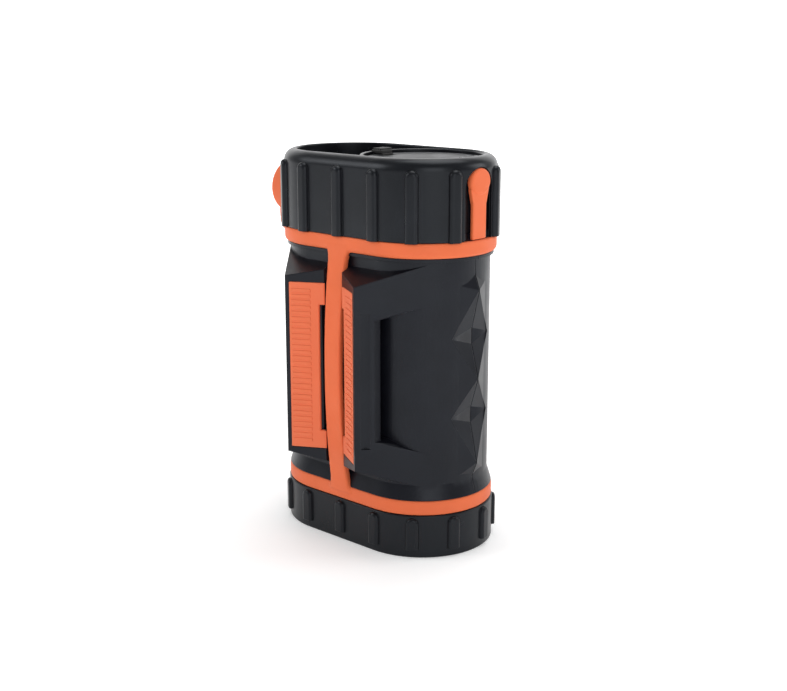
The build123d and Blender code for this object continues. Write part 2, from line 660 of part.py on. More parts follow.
# Port lid: a round lid with a knuckle in a notch at its right edge and a slot for the catch
with BuildPart() as port_lid:
    with Locations((end_x, 0, (lid_low + lid_top) / 2)):
        Cylinder(lid_radius, lid_thickness)
    fillet(port_lid.edges().group_by(Axis.Z)[-1], lid_edge)
    lid_end = end_x + lid_radius
    block((lid_end - knuckle_root, -knuckle_half, lid_low), (lid_end, knuckle_half, hinge_z))
    round_bar((hinge_x, -knuckle_half, hinge_z), knuckle_radius, 2 * knuckle_half, (0, 1, 0))
    for side in (-1, 1):
        block((hinge_x - knuckle_radius - 0.5, side * knuckle_half, lid_low - 1),
              (lid_end + 1, side * (pin_half + ear_over + 0.4), height), mode=Mode.SUBTRACT)
    round_bar(
        (hinge_x, -pin_half, hinge_z),
        pin_radius + pin_clearance,
        2 * pin_half,
        (0, 1, 0),
        Mode.SUBTRACT,
    )
    slot_side = catch_web_half + 2 * slip
    block(
        (catch_slot[0], -slot_side, lid_low - 1),
        (catch_slot[1], slot_side, lid_top + 1),
        mode=Mode.SUBTRACT,
    )
    block(
        (spring_post_x[0], -spring_post_half, lid_low - catch_drop),
        (spring_post_x[1], spring_post_half, lid_low),
    )
finish("port_lid", port_lid.part)

with BuildPart() as lid_seal:
    with Locations((end_x, 0, lid_low - seal_thickness / 2)):
        Cylinder(seal_outer, seal_thickness)
        Cylinder(seal_inner, seal_thickness, mode=Mode.SUBTRACT)
    seal_side = catch_tongue_half + 0.4
    block(
        (catch_x, -seal_side, lid_low - 1),
        (spring_post_x[1] + 0.6, seal_side, lid_low),
        mode=Mode.SUBTRACT,
    )
finish("lid_seal", lid_seal.part)

with BuildPart() as lid_hinge_pin:
    round_bar((hinge_x, -pin_half, hinge_z), pin_radius, 2 * pin_half, (0, 1, 0))
finish("lid_hinge_pin", lid_hinge_pin.part)

# Lid catch: a serrated thumb pad above the lid, a web through its slot and a tongue below
with BuildPart() as lid_latch:
    above, below = lid_top + catch_play, lid_low - catch_play
    pad_top = above + 2.05
    tongue_low = below - catch_tongue_thickness
    block((catch_pad[0], -catch_half, above), (catch_pad[1], catch_half, pad_top))
    for k in range(grip_ridges):
        ridge_x = catch_pad[0] + 0.6 + ridge_pitch * k
        block(
            (ridge_x, -catch_half, pad_top - slip),
            (ridge_x + ridge_width, catch_half, pad_top + ridge_height - slip),
        )
    block((catch_web[0], -catch_web_half, below), (catch_web[1], catch_web_half, above))
    block((catch_tongue[0], -catch_tongue_half, tongue_low), (catch_tongue[1], catch_tongue_half, below))
    block(
        (catch_post[0], -catch_post_half, lid_low - catch_drop),
        (catch_post[1], catch_post_half, tongue_low),
    )
finish("lid_latch", lid_latch.part)

spring_length = spring_post_x[0] - catch_post[1] - 2 * spring_seat_gap
spring_start = (catch_post[1] + spring_seat_gap, 0, lid_low - 0.75 * catch_drop)
with BuildPart() as latch_spring:
    with BuildLine() as coil:
        Helix(spring_pitch, spring_length, spring_radius, center=spring_start, direction=(1, 0, 0))
    with BuildSketch(Plane(origin=coil.line @ 0, z_dir=coil.line % 0)):
        Circle(spring_wire)
    sweep()
finish("latch_spring", latch_spring.part)

# Port plate with its windows, on the deck inside the collar
with BuildPart() as port_plate:
    with BuildSketch(Plane.XY.offset(deck_high)) as plate:
        with Locations((end_x, 0)):
            Circle(lid_well - fit_gap - slip)
        with Locations((port_plate_side, 0)):
            Rectangle(2 * lid_radius, 2 * lid_radius, align=(Align.MIN, Align.CENTER), mode=Mode.SUBTRACT)
        with Locations(*usb_places):
            Rectangle(usb_size[0] + 2 * window_gap, usb_size[1] + 2 * window_gap, mode=Mode.SUBTRACT)
        with Locations(small_port_place):
            SlotOverall(*[side + 2 * window_gap for side in small_port_size], rotation=90, mode=Mode.SUBTRACT)
        with Locations((button_x, button_y)):
            Circle(button_radius + button_clearance, mode=Mode.SUBTRACT)
        with Locations(*light_places):
            Circle(light_radius + slip / 2, mode=Mode.SUBTRACT)
    extrude(plate.sketch, amount=port_plate_thickness)
finish("port_plate", port_plate.part)

with BuildPart() as usb_ports:
    for x, y in usb_places:
        near_x, near_y = x - usb_mouth[0] / 2, usb_mouth[1] / 2
        block((x - usb_size[0] / 2, y - usb_size[1] / 2, board_high),
              (x + usb_size[0] / 2, y + usb_size[1] / 2, port_top + usb_proud))
        block((near_x, y - near_y, board_high + usb_floor),
              (x + usb_mouth[0] / 2, y + near_y, port_top + usb_floor), mode=Mode.SUBTRACT)
        block((near_x, y - usb_tongue[1] / 2, board_high + usb_floor / 2),
              (near_x + usb_tongue[0], y + usb_tongue[1] / 2, port_top - 0.6))
    with BuildSketch(Plane.XY.offset(board_high)) as small_port:
        with Locations(small_port_place):
            SlotOverall(*small_port_size, rotation=90)
    extrude(small_port.sketch, amount=port_top + small_port_proud - board_high)
    with BuildSketch(Plane.XY.offset(board_high + usb_floor)) as small_mouth:
        with Locations(small_port_place):
            SlotOverall(*[side - 2 * small_port_shell for side in small_port_size], rotation=90)
            Rectangle(*small_tongue, mode=Mode.SUBTRACT)
    extrude(small_mouth.sketch, amount=port_top - board_high, mode=Mode.SUBTRACT)
finish("usb_ports", usb_ports.part)

with BuildPart() as charge_lights:
    for x, y in light_places:
        round_bar((x, y, board_high), light_radius, port_top + light_proud - board_high)
finish("charge_lights", charge_lights.part)

# Power button and the switch under it
with BuildPart() as power_button:
    flange_low = deck_high - 2 * slip - button_flange_thickness
    stem_low = board_high + switch_height + switch_stem_height + plunger_gap
    round_bar((button_x, button_y, deck_high - button_sunk), button_radius, button_length)
    fillet(power_button.edges().group_by(Axis.Z)[-1], button_edge)
    round_bar((button_x, button_y, flange_low), button_radius + button_flange, button_flange_thickness)
    round_bar((button_x, button_y, stem_low), plunger_radius, deck_high - button_sunk - stem_low)
finish("power_button", power_button.part)

with BuildPart() as button_switch:
    block((button_x - switch_half, button_y - switch_half, board_high),
          (button_x + switch_half, button_y + switch_half, board_high + switch_height))
    round_bar((button_x, button_y, board_high + switch_height), switch_stem, switch_stem_height)
finish("button_switch", button_switch.part)

with BuildPart() as control_board:
    block((*board_low_corner, board_z), (*board_high_corner, board_high))
finish("control_board", control_board.part)

with BuildPart() as board_standoffs:
    for x in (board_low_corner[0] + 1.2 * standoff_inset, board_high_corner[0] - 1.2 * standoff_inset):
        for y in (board_low_corner[1] + standoff_inset, board_high_corner[1] - standoff_inset):
            round_bar((x, y, plate_high), standoff_radius, board_z - plate_high)
finish("board_standoffs", board_standoffs.part)

# Torch: lens and seal under a bezel, reflector, lamp and its finned column
with BuildPart() as torch_seal:
    round_bar((torch_x, 0, deck_high), lens_radius - 2 * slip, seal_step)
    round_bar((torch_x, 0, deck_high), torch_hole_radius, seal_step, mode=Mode.SUBTRACT)
finish("torch_seal", torch_seal.part)

with BuildPart() as torch_lens:
    round_bar((torch_x, 0, lens_low), lens_radius, lens_thickness)
finish("torch_lens", torch_lens.part)

with BuildPart() as torch_bezel:
    round_bar((torch_x, 0, deck_high), lens_radius + bezel_width, bezel_high)
    round_bar((torch_x, 0, deck_high), lens_radius + slip, lens_thickness + seal_step, mode=Mode.SUBTRACT)
    round_bar((torch_x, 0, deck_high), lens_radius - bezel_lip, 2 * bezel_high, mode=Mode.SUBTRACT)
finish("torch_bezel", torch_bezel.part)

mouth = torch_hole_radius - slip
waist, throat = mouth - 5.5, lamp_half + 1.4
with BuildPart() as torch_reflector:
    with BuildSketch(Plane(origin=(torch_x, 0, 0), x_dir=(1, 0, 0), z_dir=(0, -1, 0))) as dish:
        with BuildLine():
            Polyline(
                (throat, lamp_z), (waist, lamp_z + reflector_waist), (mouth - 0.5, deck_high),
                (mouth, deck_high),
                (mouth, deck_high - reflector_rim),
                (waist + reflector_wall, lamp_z + reflector_waist - reflector_wall),
                (throat + 1, lamp_z), close=True,
            )
        make_face()
    revolve(dish.sketch, axis=Axis((torch_x, 0, 0), (0, 0, 1)))
finish("torch_reflector", torch_reflector.part)

with BuildPart() as torch_led:
    round_bar((torch_x, 0, lamp_z - lamp_board_thickness), lamp_board_radius, lamp_board_thickness)
    block((torch_x - lamp_half, -lamp_half, lamp_z), (torch_x + lamp_half, lamp_half, lamp_z + lamp_height))
finish("torch_led", torch_led.part)

with BuildPart() as torch_heat_sink:
    round_bar((torch_x, 0, plate_high), fin_radius, lamp_z - lamp_board_thickness - plate_high)
    for k in range(fin_count):
        with Locations((torch_x, 0, plate_high + 2 + fin_pitch * k + fin_thickness / 2)):
            Cylinder(fin_radius + 1, fin_thickness, mode=Mode.SUBTRACT)
            Cylinder(fin_core, fin_thickness)
finish("torch_heat_sink", torch_heat_sink.part)

# Battery: pouch cells in series with foam between them, tab links, tray, upper frame
for number, y in enumerate(stack_y, start=1):
    with BuildPart() as cell:
        block(
            (-cell_size[0] / 2, y - cell_size[1] / 2, cell_low),
            (cell_size[0] / 2, y + cell_size[1] / 2, cell_top),
        )
        fillet(cell.edges().filter_by(Axis.Z), cell_edge)
        for side in (-1, 1):
            block((side * tab_x - tab_width / 2, y - tab_thickness / 2, cell_top),
                  (side * tab_x + tab_width / 2, y + tab_thickness / 2, cell_top + tab_height))
    finish(f"cell_{number}", cell.part)

foam_sheets = [(y + cell_size[1] / 2, y + cell_pitch - cell_size[1] / 2, foam_inset) for y in stack_y[:-1]]
foam_sheets += [(side * stack_half, side * tray_half_y, foam_side_inset) for side in (-1, 1)]
with BuildPart() as cell_foam:
    for near, far, inset in foam_sheets:
        block((-foam_half_width, near, cell_low + inset), (foam_half_width, far, cell_top - inset))
finish("cell_foam", cell_foam.part)

link_low = cell_top + link_rise
with BuildPart() as cell_links:
    for k, y in enumerate(stack_y[:-1]):
        link_x = tab_x if k % 2 == 0 else -tab_x
        block((link_x - tab_width / 2, y + tab_thickness / 2, link_low),
              (link_x + tab_width / 2, y + cell_pitch - tab_thickness / 2, link_low + link_thickness))
finish("cell_links", cell_links.part)

tray_low = cell_low - tray_floor
tray_out_x, tray_out_y = tray_half_x + tray_wall, tray_half_y + tray_wall
with BuildPart() as battery_tray:
    block((-tray_out_x, -tray_out_y, tray_low), (tray_out_x, tray_out_y, tray_high))
    block((-tray_half_x, -tray_half_y, cell_low), (tray_half_x, tray_half_y, tray_high), mode=Mode.SUBTRACT)
    for sx in (-1, 1):
        for sy in (-1, 1):
            post_place = (sx * base_post[0], sy * base_post[1], base_floor)
            round_bar(post_place, post_radius, tray_low - base_floor)
            round_bar(post_place, screw_pilot, base_screw_length + 1, mode=Mode.SUBTRACT)
finish("battery_tray", battery_tray.part)

with BuildPart() as top_frame:
    stadium_prism(inner_radius - fit_gap, frame_plate, plate_high)
    block((-tray_out_x, -tray_out_y, frame_low), (tray_out_x, tray_out_y, frame_plate))
    block(
        (-tray_half_x, -tray_half_y, frame_low),
        (tray_half_x, tray_half_y, frame_plate),
        mode=Mode.SUBTRACT,
    )
    for sy in (-1, 1):
        round_bar((-tab_x, sy * stack_y[-1], frame_plate), cable_hole, frame_thickness, mode=Mode.SUBTRACT)
        for sx in (-1, 1):
            post_foot = (sx * cap_post[0], sy * cap_post[1], plate_high)
            post_head = (sx * cap_post[0], sy * cap_post[1], deck_low)
            round_bar(post_foot, post_radius, deck_low - plate_high)
            round_bar(post_head, screw_pilot, cap_screw_length + 2, (0, 0, -1), Mode.SUBTRACT)
finish("top_frame", top_frame.part)

# Output cables from the end tabs to the jump contacts
cable_end_x = -contact_tail - 2.0
tab_top = cell_top + tab_height
for name, side in (("output_cable_negative", -1), ("output_cable_positive", 1)):
    tab_y = side * stack_y[-1]
    contact_y = side * contact_spacing / 2
    with BuildPart() as cable:
        with BuildLine() as route:
            FilletPolyline(
                (-tab_x, tab_y, tab_top),
                (-tab_x, tab_y, cable_run_z),
                (cable_end_x, 0.76 * tab_y, cable_run_z),
                (cable_end_x, contact_y, cable_run_z + 2.5),
                (cable_end_x, contact_y, large_head_z - contact_radius),
                radius=(4.5, 2.4, 2.6),
            )
        with BuildSketch(Plane(origin=route.line @ 0, z_dir=route.line % 0)):
            Circle(cable_radius)
        sweep()
    finish(name, cable.part)

# Power board with its transistors, capacitors and heat sink beside the cells
power_x = tray_out_x + slip
power_face = power_x + board_thickness
sink_x = power_face + transistor_size[0]
with BuildPart() as power_board:
    block((power_x, -board_half_width, power_low), (power_face, board_half_width, power_high))
finish("power_board", power_board.part)

with BuildPart() as power_transistors:
    for z in transistor_heights:
        for y in (-transistor_y, transistor_y):
            with Locations((power_face + transistor_size[0] / 2, y, z)):
                Box(*transistor_size)
finish("power_transistors", power_transistors.part)

with BuildPart() as heat_sink:
    block((sink_x, -sink_half_width, sink_low), (sink_x + sink_base, sink_half_width, sink_high))
    for y in fin_places:
        block(
            (sink_x + sink_base, y - fin_half, sink_low),
            (sink_x + sink_base + fin_depth, y + fin_half, sink_high),
        )
finish("heat_sink", heat_sink.part)

with BuildPart() as capacitors:
    for z in capacitor_heights:
        for y in (-capacitor_y, capacitor_y):
            round_bar((power_face, y, z), capacitor_radius, capacitor_length, (1, 0, 0))
finish("capacitors", capacitors.part)


def screw(seat, length, direction):
    """Add one screw from its head's seat, its shank along a direction, with a driver socket."""
    back = tuple(-value for value in direction)
    top = tuple(start + value * head_height for start, value in zip(seat, back))
    round_bar(seat, screw_radius, length, direction)
    round_bar(seat, head_radius, head_height, back)
    round_bar(top, driver_radius, driver_depth, direction, Mode.SUBTRACT)


# Screws: through the deck into the upper frame, through the base into the tray, and across the shells
with BuildPart() as cap_screws:
    for sx in (-1, 1):
        for sy in (-1, 1):
            screw((sx * cap_post[0], sy * cap_post[1], deck_high), cap_screw_length, (0, 0, -1))
finish("cap_screws", cap_screws.part)

with BuildPart() as base_screws:
    for sx in (-1, 1):
        for sy in (-1, 1):
            screw((sx * base_post[0], sy * base_post[1], head_height), base_screw_length, (0, 0, 1))
finish("base_screws", base_screws.part)

with BuildPart() as shell_screws:
    for z in boss_heights:
        for side in (-1, 1):
            screw((side * boss_x, screw_seat, z), screw_seat + screw_reach, (0, -1, 0))
finish("shell_screws", shell_screws.part)
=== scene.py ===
"""Looks of a jump starter pack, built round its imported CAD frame.

The housing is two moulded shells in a rubber harness, between a ribbed base cup and a ribbed cap. Grip bars
with rubber pads stand off both faces, a faceted keel runs down each end, and two tethered covers shut the
sockets.
"""

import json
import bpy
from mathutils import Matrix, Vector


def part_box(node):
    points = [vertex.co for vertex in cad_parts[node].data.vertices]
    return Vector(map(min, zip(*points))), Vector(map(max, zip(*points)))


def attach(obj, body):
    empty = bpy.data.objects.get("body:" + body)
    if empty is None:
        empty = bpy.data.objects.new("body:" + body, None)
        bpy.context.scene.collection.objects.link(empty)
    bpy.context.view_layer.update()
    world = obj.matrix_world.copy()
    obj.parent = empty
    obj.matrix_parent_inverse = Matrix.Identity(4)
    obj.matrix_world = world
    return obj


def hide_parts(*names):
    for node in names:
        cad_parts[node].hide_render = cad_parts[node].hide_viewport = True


bl_info = {
    "name": "Jump Starter Pack",
    "version": (1, 0, 0),
    "blender": (4, 5, 0),
    "location": "View3D > Sidebar > Jump Starter",
    "description": "Models and finishes a jump starter pack round its CAD frame",
    "category": "Add Mesh",
}

from math import asin, cos, pi, radians, sin
from types import SimpleNamespace

import bmesh
import bpy
from mathutils import Matrix, Vector

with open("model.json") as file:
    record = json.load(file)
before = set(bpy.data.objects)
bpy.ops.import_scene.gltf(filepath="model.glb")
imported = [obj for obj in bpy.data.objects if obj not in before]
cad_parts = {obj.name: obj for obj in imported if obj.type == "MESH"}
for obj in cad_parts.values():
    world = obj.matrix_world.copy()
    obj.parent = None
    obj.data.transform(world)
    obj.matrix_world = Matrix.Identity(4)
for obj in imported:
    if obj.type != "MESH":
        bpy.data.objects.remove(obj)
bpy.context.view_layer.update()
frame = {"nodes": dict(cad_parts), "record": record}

MM = 0.001  # every bmesh here is drawn in millimetres and brought to metres at the end


def low(node):
    """Lowest corner of a CAD node, in millimetres."""
    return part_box(node)[0] / MM


def high(node):
    """Highest corner of a CAD node, in millimetres."""
    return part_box(node)[1] / MM


def size(default, name, description):
    """A length that a user can change: written here in millimetres, held in metres."""
    return bpy.props.FloatProperty(name=name, description=description, default=default * MM, min=0.01 * MM,
                                   unit="LENGTH", precision=4)


def colour(hex_value, name, description):
    """A colour that a user can change, given as an sRGB hex value."""
    return bpy.props.StringProperty(name=name, description=description, default=hex_value)


# ---------------------------------------------------------------- properties


class HousingSizes(bpy.types.PropertyGroup):
    """Section and heights of the housing, base cup and cap."""

    end_spacing: size(42.0, "End spacing", "Distance between the centres of the two round ends")
    body_radius: size(30.9, "Body radius", "Radius of the shells' round ends")
    cap_radius: size(33.4, "Cap radius", "Radius of the cap's round ends, without its ribs")
    cap_round: size(5.4, "Cap rounding", "Radius of the cap's upper edge")
    base_radius: size(33.6, "Base radius", "Radius of the base cup's round ends, without its ribs")
    recess_radius: size(27.3, "Recess radius", "Radius of the recess in the cap's top")
    deck_thickness: size(2.0, "Deck", "Thickness of the recess floor")
    rib_width: size(6.0, "Rib width", "Width of the moulded ribs")
    cap_rib_proud: size(2.1, "Cap rib height", "How far the cap's ribs stand out")
    base_rib_proud: size(1.6, "Base rib height", "How far the base cup's ribs stand out")


class GripSizes(bpy.types.PropertyGroup):
    """The pads on the grip bars, with the notch for the passage behind the strap."""

    slope: bpy.props.FloatProperty(name="Slope", description="Angle of the bar's inner face from the front",
                                   default=radians(29.9), unit="ROTATION")
    notch_low: size(53.0, "Notch low", "Height where the pads' notch starts")
    notch_high: size(112.3, "Notch high", "Height where the pads' notch ends")
    notch_half: size(7.8, "Notch", "How far from the middle plane the notch reaches")
    rib_pitch: size(2.62, "Rib pitch", "Spacing of the pads' ribs")
    rib_start: size(1.3, "Rib start", "Distance from a pad's corner to its ribs")
    rib_end: size(10.4, "Rib end", "Distance from a pad's corner to the ribs' inner ends")


class KeelSizes(bpy.types.PropertyGroup):
    """The faceted keel down each round end."""

    low_peak: size(41.8, "Low peak", "Height of the keel's lowest peak")
    middle_peak: size(81.5, "Middle peak", "Height of the keel's middle peak")
    high_peak: size(122.0, "High peak", "Height of the keel's highest peak")
    lower_valley: size(64.2, "Lower valley", "Height of the middle of the lower valley")
    upper_valley: size(100.75, "Upper valley", "Height of the middle of the upper valley")
    valley_half: size(3.6, "Valley bottom", "Half the length of a valley's straight bottom")
    valley_x: size(50.4, "Valley place", "How far from the middle a valley's bottom lies")
    root_x: size(49.0, "Root place", "How far from the middle the facets' outer corners lie")
    root_y: size(12.47, "Root width", "How far from the parting line the facets' outer corners lie")
    foot: size(35.0, "Keel foot", "Height where the keel starts")
    head: size(129.5, "Keel head", "Height where the keel ends")
    groove_half: size(0.22, "Parting groove", "Half the width of the parting line's groove")
    groove_depth: size(0.5, "Groove depth", "Depth of the parting line's groove")


class HarnessSizes(bpy.types.PropertyGroup):
    """The rubber bands, straps and dust covers."""

    band_height: size(7.0, "Band height", "Height of both bands")
    upper_proud: size(2.6, "Upper band", "How far the upper band stands out of the shells")
    lower_proud: size(2.3, "Lower band", "How far the lower band stands out of the shells")
    strap_width: size(10.4, "Strap width", "Width of the straps at their narrowest, before they swell")
    strap_thick: size(3.4, "Strap thickness", "Thickness of the straps")
    strap_end: size(33.9, "Strap end", "How far from the middle plane the straps' ends lie")
    root_half: size(6.9, "Cover strap", "Half the width of the large cover's strap")
    tongue_half: size(4.6, "Cover tongue", "Half the width of the small cover's tongue")
    charge_head: size(6.7, "Small head", "Half the width of the small cover's oval head")
    charge_rise: size(5.9, "Small head rise", "Half the height of the small cover's oval head")
    jump_head: size(13.0, "Large head", "Radius of the large cover's round head")


class LidSizes(bpy.types.PropertyGroup):
    """The port lid, its hinge, its collar and its catch."""

    radius: size(26.0, "Lid radius", "Radius of the lid")
    top: size(178.0, "Lid top", "Height of the lid's rim")
    under: size(175.4, "Lid underside", "Height of the lid's underside")
    hinge_x: size(46.9, "Hinge place", "How far from the middle the hinge pin lies")
    hinge_z: size(178.9, "Hinge height", "Height of the hinge pin")
    knuckle_radius: size(1.1, "Knuckle radius", "Radius of the hinge's knuckles")
    knuckle_half: size(3.1, "Knuckle", "Half the length of the lid's knuckle")
    catch_half: size(4.0, "Catch", "Half the width of the catch's thumb pad")
    ridge_pitch: size(1.4, "Ridge pitch", "Spacing of the ridges on the thumb pad")
    collar_inner: size(26.7, "Collar inside", "Inner radius of the collar round the lid")
    collar_outer: size(28.3, "Collar outside", "Outer radius of the collar round the lid")


class FinishColours(bpy.types.PropertyGroup):
    """Colours of the mouldings, as sRGB hex values."""

    cap: colour("0B0C0F", "Cap", "Black ABS of the cap and base cup")
    shell: colour("0D0D13", "Shell", "Black PC/ABS of the shells")
    harness: colour("E36C3E", "Harness", "Orange rubber of the bands, straps and covers")
    pad: colour("E5724A", "Pads", "Orange rubber of the grip pads")
    lid: colour("1D1E20", "Lid", "Charcoal ABS of the port lid")
    floor: colour("F4F4F4", "Floor", "Pale studio floor")


# ---------------------------------------------------------------- materials


def linear(hex_value):
    """Turn an sRGB hex value into Blender's linear colour."""
    parts = [int(hex_value[k:k + 2], 16) / 255 for k in (0, 2, 4)]
    return tuple(c / 12.92 if c <= 0.04045 else ((c + 0.055) / 1.055) ** 2.4 for c in parts) + (1.0,)


def mixed(hex_value, target, share):
    """A colour part of the way from one sRGB hex value to another."""
    near, far = linear(hex_value), linear(target)
    return tuple(a + share * (b - a) for a, b in zip(near, far))


def node(tree, kind, inputs=None, **settings):
    """Add a node with its settings, and give its inputs values or links."""
    made = tree.nodes.new(kind)
    for key, value in settings.items():
        setattr(made, key, value)
    for key, value in (inputs or {}).items():
        if isinstance(value, bpy.types.NodeSocket):
            tree.links.new(value, made.inputs[key])
        else:
            made.inputs[key].default_value = value
    return made


def noise(tree, place, patch_mm, detail, **more):
    """A noise pattern with patches of a real size, as its strength socket."""
    return node(tree, "ShaderNodeTexNoise", {"Vector": place, "Scale": 1 / (patch_mm * MM), "Detail": detail,
                                             **more}).outputs["Fac"]


def bump(tree, height, depth_mm, under):
    """Raise a pattern by a real depth on top of the normals made so far."""
    inputs = {"Height": height, "Distance": depth_mm * MM, "Strength": 1.0}
    if under:
        inputs["Normal"] = under
    return node(tree, "ShaderNodeBump", inputs).outputs["Normal"]


def surface(name, shader_inputs, shade=None, rough=None, grain_mm=0.0, grain_depth=0.0, relief=None,
            edge_mm=0.0):
    """Make a material whose colour and roughness drift over the surface, with a fine grain in its normals.

    shade is (colour, colour, patch size in mm), rough is (low, high, patch size in mm), and relief adds one
    more pattern, given by a function of the tree and the coordinates that returns a height socket and its
    depth in mm. edge_mm eases how light runs over an edge, as on a moulding whose corners are that round.
    """
    made = bpy.data.materials.new(name)
    made.use_nodes = True
    tree = made.node_tree
    shader = tree.nodes["Principled BSDF"]
    for key, value in shader_inputs.items():
        shader.inputs[key].default_value = value
    place = node(tree, "ShaderNodeTexCoord").outputs["Object"]
    if shade:
        ramp = node(tree, "ShaderNodeValToRGB", {"Fac": noise(tree, place, shade[2], 4.0)})
        ends = ramp.color_ramp.elements
        ends[0].position, ends[1].position = 0.3, 0.7
        ends[0].color, ends[1].color = shade[0], shade[1]
        tree.links.new(ramp.outputs["Color"], shader.inputs["Base Color"])
    if rough:
        spread = node(tree, "ShaderNodeMapRange", {
            "Value": noise(tree, place, rough[2], 5.0), "From Min": 0.3, "From Max": 0.7,
            "To Min": rough[0], "To Max": rough[1]})
        tree.links.new(spread.outputs["Result"], shader.inputs["Roughness"])
    normal = None
    if edge_mm:
        normal = node(tree, "ShaderNodeBevel", {"Radius": edge_mm * MM}, samples=6).outputs["Normal"]
    if relief:
        height, depth = relief(tree, place)
        normal = bump(tree, height, depth, normal)
    if grain_mm:
        normal = bump(tree, noise(tree, place, grain_mm, 2.0), grain_depth, normal)
    if normal:
        tree.links.new(normal, shader.inputs["Normal"])
    return made


def satin_abs(name, hex_value, rough=(0.27, 0.36)):
    """Satin black ABS from a fine spark-eroded mould: soft broad highlights, a trace of handling haze.

    The mould's 0.1 mm grain is drawn at 0.35 mm so that it shows.
    """
    return surface(
        name, {"IOR": 1.53, "Specular IOR Level": 0.24, "Specular Tint": (0.86, 0.92, 1.0, 1.0)},
        shade=(linear(hex_value), mixed(hex_value, "4A5060", 0.03), 18.0),
        rough=rough + (14.0,), grain_mm=0.35, grain_depth=0.005, edge_mm=0.45,
    )


def moulded_tpe(name, hex_value):
    """Matte over-moulded thermoplastic rubber: no clear highlight and a slight bloom.

    Its 0.2 mm texture is drawn at 0.4 mm so that it shows.
    """
    return surface(
        name, {"IOR": 1.5, "Specular IOR Level": 0.35, "Sheen Weight": 0.05, "Sheen Roughness": 0.5,
               "Subsurface Weight": 0.05, "Subsurface Radius": (0.004, 0.0015, 0.0008),
               "Subsurface Scale": 1.0},
        shade=(linear(hex_value), mixed(hex_value, "C8552A", 0.22), 26.0),
        rough=(0.58, 0.70, 9.0), grain_mm=0.4, grain_depth=0.012,
    )


def metal(name, hex_value, roughness, grain=0.5):
    """Bare or plated metal: tight coloured reflections broken by fine machining haze."""
    return surface(
        name, {"Metallic": 1.0}, shade=(linear(hex_value), mixed(hex_value, "FFFFFF", 0.12), 6.0),
        rough=(0.8 * roughness, 1.3 * roughness, 3.0), grain_mm=grain, grain_depth=0.004,
    )


def plain(name, hex_value, roughness, **extra):
    """Small moulded or dipped part with a light haze."""
    return surface(
        name, extra, shade=(linear(hex_value), mixed(hex_value, "808080", 0.08), 8.0),
        rough=(0.85 * roughness, min(1.0, 1.15 * roughness), 5.0), grain_mm=0.3, grain_depth=0.005,
    )


def board_tracks(tree, place):
    """Raised copper tracks under the solder mask, about 1.5 mm apart."""
    cells = node(tree, "ShaderNodeTexVoronoi", {"Vector": place, "Scale": 1 / (1.5 * MM)},
                 distance="MANHATTAN", feature="DISTANCE_TO_EDGE")
    return cells.outputs["Distance"], 0.05


def pouch_wrinkles(tree, place):
    """Shallow wrinkles of the cell's foil pouch, about 9 mm across."""
    return noise(tree, place, 9.0, 3.0, Distortion=1.2), 0.35


